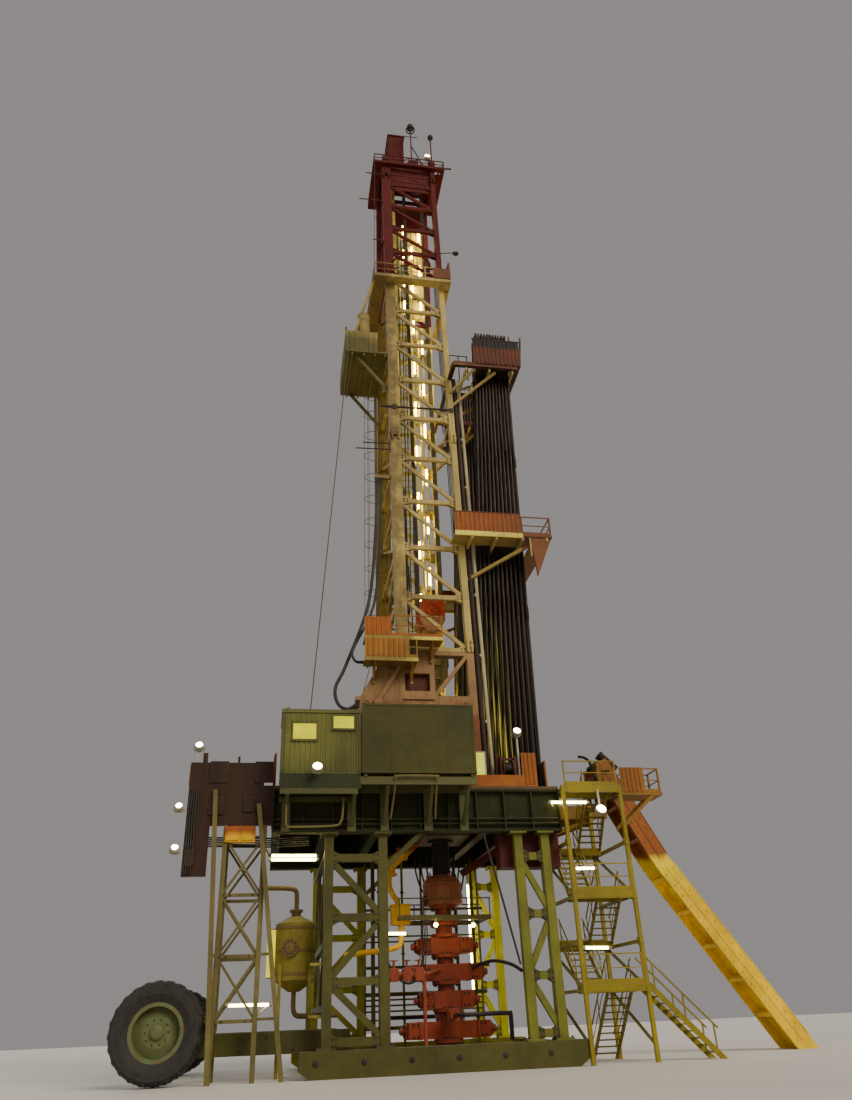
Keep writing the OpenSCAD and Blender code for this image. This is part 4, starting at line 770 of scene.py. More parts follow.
def make_hoses(sizes):
    for name, points, d, node in (("mud_hose", LONG_HOSE, sizes.long_hose, "hose_long"),
                                  ("air_hose", SHORT_HOSE, sizes.short_hose, "hose_short")):
        hose = hose_curve(name, points, d)
        hose.data.materials.append(finish_of("hose_rubber"))
        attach(hose, "rig")
        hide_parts(node)
    ends = Shape()
    for points, d in ((LONG_HOSE, sizes.long_hose), (SHORT_HOSE, sizes.short_hose)):
        for a, b in ((points[0], points[1]), (points[-1], points[-2])):
            way = (Vector(b) - Vector(a)).normalized()
            ends.lathe(Vector(a) - way * 0.012, way, [(d * 0.66, 0), (d * 0.66, 0.07), (d * 0.58, 0.09),
                                                      (d * 0.58, 0.16), (d * 0.51, 0.19)], 16)
    piece("hose_collars", ends, "dark_steel")


def make_drilling_lines(sizes):
    """Twisted rope between the crown and the block."""
    rope = Shape()
    low, high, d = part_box("drilling_lines")[0].z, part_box("drilling_lines")[1].z, 0.022
    steps = 150
    for side in SIDES:
        for k in range(6):
            x, y = side * 0.3213, -0.275 + 0.11 * k
            rope.loft([[(x + cos(t + i * 0.55) * d / 2, y + sin(t + i * 0.55) * d / 2,
                         low + (high - low) * i / steps)
                        for t in (tau * n / 6 for n in range(6))] for i in range(steps + 1)])
    made = piece("drilling_rope", rope, "wire_rope")
    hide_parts("drilling_lines")
    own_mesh(made)


# Pieces that dress the rig.

def rib_rows(x0, x1, y, z0, z1, turn, pitch, along="x"):
    """Row of ribs on a wall that runs along X or Y from one end to the other."""
    length = abs(x1 - x0)
    count = max(1, round(length / pitch))
    gap = (x1 - x0) / count
    at = (x0 + gap / 2, y, z0) if along == "x" else (y, x0 + gap / 2, z0)
    return row(at, (0, 0, turn), size=(1, 1, z1 - z0), step=(gap, 0, 0) if along == "x" else (0, gap, 0),
               count=count)


def frame_round(x0, x1, z0, z1, wide):
    """The four bars of a frame round an opening, as their two ends across and up."""
    low, high = z0 - wide, z1 + wide
    return (x0 - wide, x0, low, high), (x1, x1 + wide, low, high), (x0, x1, low, z0), (x0, x1, z1, high)


def on_side(side, a, b):
    """Two places across the rig on one side, the lower one first."""
    return sorted((side * a, side * b))


def lifting_eye(shape, x, y, z, r=0.05):
    shape.box(x - r, x + r, y - 0.012, y + 0.012, z, z + r * 0.8)
    shape.tube([(x + cos(t) * r * 0.7, y, z + r * 1.3 + sin(t) * r * 0.7)
                for t in (tau * k / 12 for k in range(12))], 0.026, 6, True)


def make_cabins(sizes):
    lo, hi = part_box("doghouse_walls")
    windows = [(lo.x + 0.22, lo.x + 0.7, hi.z - 0.57, hi.z - 0.23),
               (lo.x + 1.06, lo.x + 1.49, hi.z - 0.33, hi.z - 0.06)]
    door = (hi.x - 0.9, hi.x - 0.42)
    ribs = []
    count = round((hi.x - lo.x - 0.1) / sizes.rib_pitch)
    for i in range(count):
        x = lo.x + 0.08 + i * (hi.x - lo.x - 0.16) / (count - 1)
        spans = [(lo.z + 0.04, hi.z - 0.03)]
        for x0, x1, z0, z1 in windows:
            if x0 - 0.06 < x < x1 + 0.06:
                spans = [(lo.z + 0.04, z0 - 0.05), (z1 + 0.05, hi.z - 0.03)]
        ribs += [row((x, lo.y, a), size=(1, 1, b - a)) for a, b in spans if b - a > 0.05]
        if not door[0] - 0.05 < x < door[1] + 0.05:
            ribs.append(row((x, hi.y, lo.z + 0.04), (0, 0, pi), size=(1, 1, hi.z - lo.z - 0.07)))
    ribs.append(rib_rows(lo.y + 0.04, hi.y - 0.04, lo.x, lo.z + 0.04, hi.z - 0.03, -QUARTER,
                         sizes.rib_pitch, "y"))
    copies("doghouse_ribs", rib_unit(0.05, 0.018), ribs, "doghouse_paint")

    trim, panes = Shape(), Shape()
    for x0, x1, z0, z1 in windows:
        for a, b, c, d in frame_round(x0, x1, z0, z1, 0.035):
            trim.box(a, b, lo.y - 0.028, lo.y + 0.03, c, d)
        trim.box(x0 - 0.05, x1 + 0.05, lo.y - 0.05, lo.y, z0 - 0.05, z0 - 0.03)
        panes.box(x0 - 0.004, x1 + 0.004, lo.y + 0.012, lo.y + 0.022, z0 - 0.004, z1 + 0.004)
    for x in door:
        trim.box(x - 0.02, x + 0.02, hi.y - 0.01, hi.y + 0.03, lo.z, lo.z + 1.09)
    trim.box(door[0] - 0.03, door[1] + 0.03, hi.y - 0.012, hi.y + 0.036, lo.z + 1.055, lo.z + 1.1)
    for x in (lo.x - 0.012, hi.x - 0.05):
        for y in (lo.y - 0.012, hi.y - 0.05):
            trim.box(x, x + 0.062, y, y + 0.062, lo.z, hi.z + 0.001)
    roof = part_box("doghouse_roof")[1].z
    for y in (lo.y - 0.03, hi.y - 0.03):
        trim.box(lo.x - 0.03, hi.x, y, y + 0.03, roof - 0.002, roof + 0.03)
    for x in (lo.x + 0.1, hi.x - 0.1):
        for y in (lo.y + 0.1, hi.y - 0.1):
            lifting_eye(trim, x, y, roof - 0.002)
    trim.lathe((lo.x + 0.9, -2.5, roof), UP,
               [(0.07, -0.01), (0.07, 0.12), (0.12, 0.13), (0.12, 0.17), (0.05, 0.2)], 20)
    piece("doghouse_trim", trim, "bracket_paint", chamfer=0.004)
    piece("doghouse_panes", panes, "lit_window")
    copies("doghouse_roof_ribs", rib_unit(0.06, 0.02),
           [row((lo.x + 0.15, lo.y + 0.03, roof - 0.001), (-QUARTER, 0, 0), size=(1, 1, hi.y - lo.y - 0.06),
                step=(0.19, 0, 0), count=8)], "doghouse_paint")

    lo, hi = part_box("plain_cabin")
    z0 = FLOOR + 0.06
    trim = Shape()
    for x in (lo.x - 0.004, hi.x - 0.056):
        for y in (lo.y - 0.008, hi.y - 0.052):
            trim.box(x, x + 0.06, y, y + 0.06, z0, hi.z + 0.004)
    for z in (z0, hi.z - 0.05):
        trim.box(lo.x, hi.x, lo.y - 0.01, lo.y + 0.02, z, z + 0.05)
        trim.box(hi.x - 0.02, hi.x + 0.01, lo.y, hi.y, z, z + 0.05)
    for i in (1, 2, 3):
        x = lo.x + (hi.x - lo.x) * i / 4
        trim.box(x - 0.012, x + 0.012, lo.y - 0.006, lo.y + 0.004, z0 + 0.05, hi.z - 0.05)
    for x in (lo.x + 0.12, hi.x - 0.12):
        for y in (lo.y + 0.12, hi.y - 0.12):
            lifting_eye(trim, x, y, hi.z - 0.002)
    trim.box(lo.x + 0.5, lo.x + 1.2, -2.9, -2.5, hi.z - 0.01, hi.z + 0.09)
    y0, y1, vent_z = -3.05, -2.5, 6.2
    for a, b, c, d in frame_round(y0, y1, vent_z, 6.62, 0.03):
        trim.box(hi.x - 0.01, hi.x + 0.03, a, b, c, d)
    piece("cabin_trim", trim, "cabin_green_paint", chamfer=0.004)
    slat = Shape().bar((0.012, -0.5, 0), (0.012, 0.5, 0), 0.006, 0.04)
    copies("cabin_louvre", slat, [row((hi.x, (y0 + y1) / 2, vent_z + 0.02), (0, 0.6, 0), (1, y1 - y0, 1),
                                      (0, 0, 0.045), 9)], "dark_green_paint")

    rails = Shape()
    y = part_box("plain_cabin")[0].y + 0.03
    rails.bent([(-1.55, y + 0.62, 4.62), (-1.52, y + 0.3, 4.95), (-1.5, y - 0.03, 5.3),
                (-1.46, y - 0.05, 5.35), (-0.68, y - 0.05, 5.35), (-0.64, y - 0.03, 5.3),
                (-0.62, y + 0.3, 4.95), (-0.59, y + 0.62, 4.62)], 0.045)
    y = lo.y + 0.04
    rails.bent([(-3.72, y + 0.3, 4.98), (-3.72, y + 0.28, 4.5), (-3.69, y + 0.3, 4.42),
                (-3.6, y + 0.3, 4.4), (-2.75, y + 0.3, 4.42), (-2.62, y + 0.3, 4.5), (-2.58, y + 0.3, 4.62),
                (-2.56, y + 0.3, 4.98)], 0.045)
    piece("under_cabin_rails", rails, "tower_paint")


def make_mast_fittings(sizes):
    plate = Shape().slab([(0, -0.16), (0.2, -0.07), (0.2, 0.07), (0, 0.16)], (0, 0.006, 0), (1, 0, 0),
                         (0, 0, 1), 0.012)
    for name, levels, finish in (("mast_gussets", LATTICE, "cream_paint"),
                                 ("red_gussets", RED_LATTICE, "dark_red_paint")):
        starts = []
        for z in levels:
            for side in SIDES:
                for out in (0.052, -0.046):
                    y = side * (mast_y(z) + out)
                    starts += [row((REAR_LEG_X + 0.145, y, z), (side * MAST_LEAN, 0, 0)),
                               row((FRONT_LEG_X - 0.075, y, z), (-side * MAST_LEAN, 0, pi))]
        copies(name, plate, starts, finish)
    bolts = []
    for z in LATTICE + RED_LATTICE:
        for side in SIDES:
            y = side * (mast_y(z) + 0.06)
            for x in (REAR_LEG_X + 0.19, FRONT_LEG_X - 0.21):
                for up in (-0.04, 0.04):
                    bolts.append(row((x, y, z + up), facing(side), step=(0.09, 0, 0), count=2))
    copies("mast_bolts", bolt_unit(sizes.bolt_size), bolts)

    for name, levels, finish in (("mast_splices", (8.9, 15.45, 22.0), "cream_paint"),
                                 ("red_splices", (22.4, 27.4), "dark_red_paint")):
        lugs = Shape()
        for z in levels:
            for x, wide in ((REAR_LEG_X, 0.3), (FRONT_LEG_X, 0.16)):
                y = -mast_y(z)
                for off in (-wide * 0.3, wide * 0.3):
                    lugs.box(x + off - 0.025, x + off + 0.025, y - 0.17, y - 0.1, z - 0.16, z + 0.16)
                lugs.rod((x - wide * 0.5, y - 0.14, z), (x + wide * 0.5, y - 0.14, z), 0.05, 12)
                lugs.rod((x - wide * 0.56, y - 0.14, z), (x - wide * 0.5, y - 0.14, z), 0.09, 6)
                lugs.rod((x + wide * 0.5, y - 0.14, z), (x + wide * 0.56, y - 0.14, z), 0.09, 6)
        piece(name, lugs.mirrored(), finish, chamfer=0.005)

    ladder = Shape()
    for y in (0.86, 1.16):
        ladder.bar((-1.33, y, 8.95), (-1.33, y - 0.02, 21.55), 0.03, 0.05)
    for z in (9.6, 12.3, 15.0, 17.7, 20.4):
        for y in (0.86, 1.16):
            ladder.bar((-1.33, y, z), (-1.1, y, z), 0.03, 0.03)
    piece("mast_ladder_rails", ladder, "cream_paint")
    rung = Shape().rod((0, -0.15, 0), (0, 0.15, 0), 0.024, 8)
    copies("mast_ladder_rungs", rung, [row((-1.33, 1.01, 9.1), step=(0, 0, 0.28), count=45)], "cream_paint")
    hoops = Shape()
    for k in range(14):
        z = 10.9 + k * 0.8
        hoops.tube([(-1.33 - sin(t) * 0.36, 1.01 - cos(t) * 0.24, z)
                    for t in (pi * n / 10 for n in range(11))], 0.02, 6)
    for t in (0.7, QUARTER, pi - 0.7):
        x, y = -1.33 - sin(t) * 0.36, 1.01 - cos(t) * 0.24
        hoops.bar((x, y, 10.85), (x, y, 21.35), 0.03, 0.012)
    piece("mast_ladder_hoops", hoops, "cream_paint")

    rods = Shape()
    for x, z, length in ((-1.2, 26.0, 0.85), (-1.2, 27.5, 0.6), (-1.2, 15.17, 0.8), (-1.2, 14.95, 1.0),
                         (-1.2, 23.9, 0.4)):
        y = -mast_y(z) - 0.05
        rods.rod((x - length, y, z - 0.02), (x, y, z), 0.035, 8)
        rods.box(x - 0.06, x, y - 0.05, y + 0.05, z - 0.07, z + 0.07)
    y = -mast_y(16.5) - 0.12
    rods.rod((-1.5, y, 16.48), (0.66, y, 16.52), 0.06, 8)
    for x in (REAR_LEG_X, FRONT_LEG_X):
        rods.box(x - 0.06, x + 0.06, y - 0.02, y + 0.06, 16.42, 16.58)
    piece("mast_side_rods", rods, "dark_steel")
    piece("crown_guy", Shape().rod((-1.5, -1.0, 27.95), (-1.6, -1.35, 22.4), 0.02, 6), "dark_steel")

    hoop = Shape()
    z, y0 = 22.75, -mast_y(22.75)
    for level, d in ((z, 0.06), (z - 0.45, 0.035)):
        hoop.tube([(-0.35 - cos(t) * 0.62, y0 - 0.08 - sin(t) * 0.42, level)
                   for t in (pi * k / 18 for k in range(19))], d, 8)
    for t in (0.0, 0.9, QUARTER, pi - 0.9, pi):
        x, y = -0.35 - cos(t) * 0.62, y0 - 0.08 - sin(t) * 0.42
        hoop.post(x, y, z - 0.47, z + 0.02, 0.03, 6)
    for x in (-0.97, 0.27):
        hoop.box(x - 0.04, x + 0.04, y0 - 0.1, y0 + 0.09, z - 0.03, z + 0.03)
    hoop.bar((0.27, y0, z), (0.55, y0, z), 0.05, 0.05)
    piece("round_guard", hoop, "dark_red_paint")
    arm = Shape()
    arm.rod((FRONT_LEG_X, -1.0, 23.6), (1.2, -1.0, 23.72), 0.03, 8)
    arm.lathe((1.12, -1.0, 23.68), (1, 0, 0.1), [(0.03, 0), (0.07, 0.04), (0.08, 0.14), (0.05, 0.2)], 16)
    arm.rod((0.95, -1.0, 28.02), (1.3, -1.02, 28.04), 0.06, 8)
    arm.box(0.85, 1.0, -1.04, -0.96, 27.98, 28.07)
    piece("outreach_lamp", arm, "dark_steel")

    tray, wires, light_pipes = Shape(), Shape(), Shape()
    for z0, z1 in ((8.95, 15.3), (15.45, 21.95), (22.3, 26.7)):
        for x in (-0.52, -0.02):
            tray.bar((x, mast_y(z0) - 0.15, z0), (x, mast_y(z1) - 0.15, z1), 0.025, 0.07)
    for x, d, black in ((-0.47, 0.045, 1), (-0.41, 0.035, 0), (-0.36, 0.04, 1), (-0.31, 0.03, 0),
                        (-0.26, 0.04, 1), (-0.2, 0.035, 0), (-0.14, 0.045, 1), (-0.08, 0.03, 0)):
        route = [(x + 0.008 * sin(z * 1.7 + x * 40), mast_y(z) - 0.19, z)
                 for z in (9.0 + 17.6 * k / 30 for k in range(31))]
        (wires if black else light_pipes).tube(route, d, 6)
    for x, d in ((0.16, 0.1), (0.34, 0.06), (-0.72, 0.08)):
        light_pipes.rod((x, mast_y(8.9) - 0.16, 8.9), (x, mast_y(22.0) - 0.16, 22.0), d, 10)
        for z in (10.2, 13.15, 16.1, 19.05):
            y = mast_y(z) - 0.16
            light_pipes.box(x - d * 0.8, x + d * 0.8, y - d * 0.7, y + 0.08, z - 0.03, z + 0.03)
    for z0, z1 in ((7.5, 8.62), (22.35, 23.3), (23.42, 24.35), (24.47, 25.4), (25.52, 26.6)):
        for x0, x1 in ((0.04, 0.2), (0.22, 0.44)):
            tray.loft([[(x0, mast_y(z) - 0.135, z), (x1, mast_y(z) - 0.135, z), (x1, mast_y(z) - 0.12, z),
                        (x0, mast_y(z) - 0.12, z)] for z in (z0, z1)])
    piece("mast_tray_rails", tray, "inner_cream_paint")
    piece("mast_light_pipes", light_pipes, "inner_cream_paint")
    piece("mast_black_cables", wires, "hose_rubber")
    lean = -MAST_IN / MAST_RISE * 0.24
    copies("mast_tray_rungs", Shape().box(-0.25, 0.25, -0.012, 0.012, -0.014, 0.014),
           [row((-0.27, mast_y(9.1) - 0.15, 9.1), step=(0, lean, 0.24), count=26),
            row((-0.27, mast_y(15.6) - 0.15, 15.6), step=(0, lean, 0.24), count=27),
            row((-0.27, mast_y(22.4) - 0.15, 22.4), step=(0, lean, 0.24), count=18)], "inner_cream_paint")

    loops = Shape()
    for n in range(3):
        x, y = -0.62 + 0.06 * n, 0.72 + 0.02 * n
        loops.bent([(x, 0.9, 15.2), (x, y, 15.0), (x, y - 0.04, 13.0), (x + 0.01, y, 11.2 + 0.1 * n),
                    (x + 0.05, y + 0.06, 10.75 + 0.1 * n), (x + 0.1, y + 0.14, 11.2 + 0.1 * n),
                    (x + 0.1, y + 0.2, 12.6)], 0.045, 8, 6)
    piece("service_loops", loops, "hose_rubber")
    boxes = Shape()
    for x, z, w, h in ((0.34, 9.4, 0.3, 0.42), (-0.86, 12.0, 0.22, 0.36), (0.36, 14.9, 0.22, 0.3),
                       (-0.84, 18.2, 0.2, 0.3), (0.38, 20.9, 0.2, 0.26)):
        y = mast_y(z) - 0.13
        boxes.box(x - w / 2, x + w / 2, y - 0.1, y + 0.06, z - h / 2, z + h / 2)
        boxes.box(x - w / 2 + 0.02, x + w / 2 - 0.02, y - 0.112, y - 0.1, z - h / 2 + 0.02,
                  z + h / 2 - 0.02)
    piece("mast_boxes", boxes, "lamp_housing", chamfer=0.004)

    base = Shape()
    y = mast_y(7.9)
    base.box(-1.07, -0.43, -y + 0.03, -y + 0.05, 7.66, 8.19)
    piece("base_window_panels", base.mirrored(), "winch_paint")
    brace = Shape()
    brace.bar((-1.16, -mast_y(8.3) - 0.17, 8.32), (-1.72, -2.02, 7.4), 0.07, 0.1)
    brace.box(-1.8, -1.6, -2.06, -1.9, 7.26, 7.46)
    brace.bar((-1.1, -mast_y(7.5) - 0.13, 7.5), (-0.36, -mast_y(7.5) - 0.13, 7.5), 0.04, 0.05)
    piece("base_braces", brace.mirrored(), "mast_base_paint", chamfer=0.004)
    far = Shape()
    for z in (7.75, 8.05, 8.35):
        far.rod((-0.3, mast_y(z) - 0.18, z), (0.5, mast_y(z) - 0.18, z), 0.035, 8)
    for x in (-0.25, -0.02, 0.22, 0.45):
        far.rod((x, mast_y(7.5) - 0.18, 7.45), (x, mast_y(8.5) - 0.18, 8.5), 0.035, 8)
    piece("base_far_rails", far, "inner_cream_paint")

    trunk = Shape()
    for x, w in ((-0.93, 0.1), (-0.88, 0.05)):
        for z0, z1 in ((8.9, 15.3), (15.5, 21.9)):
            trunk.bar((x, mast_y(z0) - 0.16, z0), (x, mast_y(z1) - 0.16, z1), w, 0.06)
    piece("mast_cable_trunk", trunk, "cream_paint")
    cables = Shape()
    levels = (8.9, 11.0, 13.5, 16.0, 19.0, 22.0)
    for n in range(4):
        cables.bent([(0.42 + 0.035 * n, -mast_y(z) + 0.13 + 0.01 * sin(z * 2 + n), z)
                     for z in levels], 0.022, 6, 4)
    piece("mast_leg_cables", cables, "hose_rubber")


def make_crown(sizes):
    heads = Shape()
    for x, z, r in ((-0.15, 30.17, 0.13), (0.59, 29.72, 0.1)):
        heads.lathe((x, -1.0, z - r), UP, [(r * 0.4, -0.06), (r * 0.5, 0), (r * 0.95, r * 0.3), (r, r),
                                           (r * 0.8, r * 1.6), (r * 0.4, r * 1.95)], 20)
    heads.ring((-0.15, -1.0, 30.0), UP, 0.17, 0.13, 0.02)
    heads.bar((-0.4, -1.0, 29.6), (0.1, -1.0, 29.62), 0.02, 0.02)
    heads.bar((-0.15, -1.0, 29.1), (0.12, -1.0, 28.45), 0.03, 0.03)
    piece("crown_beacons", heads, "dark_steel")
    guard = Shape()
    for y in (-0.4, 0.0, 0.4):
        guard.tube([(cos(t) * 0.41, y, SHEAVE_Z + sin(t) * 0.41) for t in
                    (pi * (0.02 + 0.96 * k / 16) for k in range(17))], 0.032, 8)
    for t in (0.5, QUARTER, pi - 0.5):
        x, z = cos(t) * 0.41, SHEAVE_Z + sin(t) * 0.41
        guard.rod((x, -0.42, z), (x, 0.42, z), 0.028, 8)
    piece("sheave_guard", guard, "dark_red_paint")
    caps = [row((0, y, SHEAVE_Z), (way * QUARTER, 0, 0), count=6, radius=0.05)
            for y, way in ((-0.56, 1), (0.56, -1))]
    copies("sheave_pin_bolts", bolt_unit(0.026), caps, in_ring=True)
    copies("crown_box_ribs", rib_unit(0.06, 0.02),
           [rib_rows(-0.9, -0.38, -0.57, 28.5, 30.1, 0, 0.13),
            rib_rows(-0.9, -0.38, 0.57, 28.5, 30.1, pi, 0.13),
            rib_rows(-0.55, 0.55, -0.92, 28.5, 30.1, -QUARTER, 0.14, "y")], "dark_red_paint")
    hood = Shape()
    hood.box(-0.96, -0.31, -0.61, 0.61, 30.13, 30.19)
    for y in (-0.45, 0.45):
        lifting_eye(hood, -0.64, y, 30.18, 0.06)
    piece("crown_box_lid", hood, "dark_red_paint", chamfer=0.006)
    stays = Shape()
    for side in SIDES:
        for x in (-1.1, 0.55):
            stays.bar((x, side * 0.86, 27.95), (x, side * 1.0, 27.4), 0.05, 0.05)
    for z in (27.2, 27.55):
        stays.box(-0.93, 0.52, -mast_y(z) - 0.03, -mast_y(z), z, z + 0.05)
    piece("crown_stiffeners", stays, "dark_red_paint")


def lower_deck_edge(z):
    return -(mast_y(z - 0.06) + 0.6103)


def make_platforms(sizes):
    orange, dark = [], []
    pitch = sizes.rib_pitch * 1.2
    for side, turn in ((-1, 0.0), (1, pi)):
        dark.append(rib_rows(1.26, 2.6, side * 2.2, 17.83, 18.73, turn, pitch))
        orange.append(rib_rows(0.33, 2.05, side * 2.365, 11.95, 12.5, turn, pitch))
    dark.append(rib_rows(-2.16, 2.16, 2.64, 17.83, 18.73, QUARTER, pitch, "y"))
    for (z, _), x1 in zip(LOWER_DECKS, (-1.03, -1.45)):
        y = lower_deck_edge(z)
        orange.append(rib_rows(-2.03, x1 - 0.02, y, z + 0.02, z + 0.46, 0, pitch))
    orange += [rib_rows(-3.95, 2.2, 2.5, 5.4, 6.08, pi, 0.16),
               rib_rows(-2.25, 2.45, -4.0, 5.4, 6.08, -QUARTER, 0.16, "y"),
               rib_rows(0.74, 2.45, 2.23, 5.4, 6.08, QUARTER, 0.14, "y"),
               rib_rows(-1.84, -0.74, 2.23, 5.4, 6.08, QUARTER, 0.14, "y"),
               rib_rows(1.49, 1.78, -2.5, 5.4, 6.08, 0, 0.1),
               rib_rows(-2.46, -1.24, -5.73, 5.37, 5.8, -QUARTER, 0.12, "y"),
               rib_rows(3.72, 4.21, -2.65, 5.2, 5.73, 0, 0.1)]
    copies("orange_wall_ribs", rib_unit(), orange, "orange_paint")
    walk = Shape()
    for side in SIDES:
        for z in (18.35, 18.78):
            walk.rod((0.66, side * 1.36, z), (1.25, side * 1.36, z), 0.032, 8)
        for x in (0.68, 0.96, 1.23):
            walk.post(x, side * 1.36, 17.84, 18.8, 0.036)
    walk.box(0.8, 0.86, -1.53, -0.6, 21.86, 22.62)
    walk.box(0.3, 0.86, -1.56, -1.52, 21.86, 22.3)
    piece("walkway_rails", walk, "board_wall_paint", chamfer=0.003)
    edges = Shape()
    for z, x1 in LOWER_DECKS:
        y = lower_deck_edge(z)
        edges.box(-2.05, x1, y - 0.026, y + 0.01, z - 0.1, z - 0.01)
    edges.box(0.3, 2.1, -2.39, -2.36, 11.8, 11.94)
    edges.box(0.3, 2.1, 2.36, 2.39, 11.8, 11.94)
    piece("deck_edges", edges, "inner_cream_paint", chamfer=0.003)
    struts = Shape()
    for side in SIDES:
        struts.bar((0.62, side * 1.5, 17.2), (1.25, side * 2.1, 17.66), 0.06, 0.08)
        struts.bar((0.62, side * 1.46, 16.7), (1.9, side * 2.02, 17.66), 0.06, 0.08)
        struts.bar((0.56, side * 1.46, 17.2), (1.3, side * 1.3, 17.66), 0.05, 0.07)
    piece("board_struts", struts, "cream_paint", chamfer=0.004)
    copies("board_wall_ribs", rib_unit(), dark, "board_wall_paint")

    caps = Shape()
    for side in SIDES:
        caps.box(1.21, 2.65, side * 2.18 - 0.03, side * 2.18 + 0.03, 18.74, 18.78)
        caps.box(0.29, 2.09, side * 2.35 - 0.025, side * 2.35 + 0.025, 12.515, 12.545)
        caps.bar((2.62, side * 2.19, 17.8), (2.72, side * 2.19, 18.95), 0.05, 0.05)
    caps.box(2.595, 2.655, -2.21, 2.21, 18.74, 18.78)
    for x in (1.4, 1.72, 2.04, 2.36):
        caps.bar((x, -2.15, 17.86), (x + 0.02, -2.15, 19.0), 0.04, 0.04)
    piece("wall_caps", caps, "board_wall_paint", chamfer=0.004)

    frames = Shape()
    for side in SIDES:
        for x in (0.75, 1.4, 2.1, 2.75):
            frames.box(x - 0.03, x + 0.03, *on_side(side, 1.3, 2.36), 11.74, 11.86)
        frames.post(2.3, side * 2.32, 11.3, 11.86, 0.05)
    for x in (1.0, 1.7, 2.4):
        frames.box(x - 0.025, x + 0.025, -2.12, -0.66, 17.58, 17.7)
        frames.box(x - 0.025, x + 0.025, 0.66, 2.12, 17.58, 17.7)
    for z, _ in LOWER_DECKS:
        y = lower_deck_edge(z)
        for x in (-1.95, -1.4, -0.95):
            frames.box(x - 0.02, x + 0.02, y + 0.0203, y + 0.4603, z - 0.12, z - 0.06)
    piece("platform_joists", frames, "cream_paint", chamfer=0.003)

    bolts = []
    for side in SIDES:
        for z in (17.86, 18.6):
            bolts.append(row((1.32, side * 2.2, z), facing(side), step=(0.3, 0, 0), count=5))
        bolts.append(row((0.45, side * 2.365, 12.44), facing(side), step=(0.4, 0, 0), count=5))
    copies("wall_bolts", bolt_unit(sizes.bolt_size), bolts)

    finger = Shape().lathe((0, 0, -0.03), (1, 0, 0),
                           [(0.02, 0), (0.02, 0.05), (0.011, 0.06), (0.011, 0.07)], 8)
    latches = [row((0.83, side * 0.9, 17.86), (0, 0, side * QUARTER), step=(0.097, 0, 0), count=12)
               for side in SIDES]
    copies("finger_latches", finger, latches, "dark_red_paint")

    basket = Shape()
    for x in (-2.3, -1.95, -1.6, -1.3):
        basket.box(x - 0.025, x + 0.025, -1.43, 0.62, 18.44, 18.545)
    basket.bent([(-2.48, -1.42, 19.3), (-2.52, -1.44, 19.42), (-2.48, -1.3, 19.46), (-2.48, 0.5, 19.46)],
                0.035)
    for z in (18.75, 19.3, 19.95):
        basket.ring((-1.93, -1.2, z), UP, 0.19, 0.175, 0.04)
    basket.lathe((-1.93, -1.2, 20.19), UP,
                 [(0.19, 0), (0.19, 0.02), (0.1, 0.05), (0.04, 0.05), (0.04, 0.09)], 24)
    basket.post(-2.42, -1.4, 18.5, 18.66, 0.09, 12)
    piece("basket_frames", basket, "basket_paint", chamfer=0.003)
    copies("basket_panel_ribs", rib_unit(0.05, 0.016),
           [rib_rows(-2.45, -1.58, -1.454, 18.62, 19.32, 0, 0.14),
            rib_rows(-1.4, 0.6, -2.5, 18.62, 19.32, -QUARTER, 0.14, "y")], "basket_paint")


def stand_line(i, j, side):
    foot = (0.78 + i * 0.135, side * (1.71 - j * 0.14), 5.39)
    head = (1.48 + i * 0.092, side * (1.69 - j * 0.128), 19.45)
    return foot, head


def make_racked_pipe(sizes):
    joint = Shape().lathe((0, 0, -0.2), UP, [(0.034, 0), (0.045, 0.05), (0.045, 0.19), (0.043, 0.2),
                                             (0.045, 0.21), (0.045, 0.35), (0.034, 0.4)], 8)
    starts = []
    for side in SIDES:
        for i in range(11):
            for j in range(4):
                foot, head = stand_line(i, j, side)
                way = Vector(head) - Vector(foot)
                turn = (-atan2(way.y, way.z), atan2(way.x, way.z), 0)
                drift = 0.01 * ((i * 7 + j * 3) % 5)
                for t in (0.325 + drift, 0.66 + drift):
                    starts.append(row(between(foot, head, t), turn))
                starts.append(row(between(foot, head, 0.985), turn, size=(1, 1, 0.8)))
                starts.append(row(between(foot, head, 0.016), turn, size=(1, 1, 0.9)))
    copies("pipe_joints", joint, starts, "racked_steel")
    mats = Shape()
    for side in SIDES:
        for x in (0.72, 2.14):
            mats.box(x - 0.02, x + 0.02, side * 1.5 - 0.4, side * 1.5 + 0.4, 5.38, 5.44)
    piece("setback_kerbs", mats, "dark_steel", chamfer=0.005)


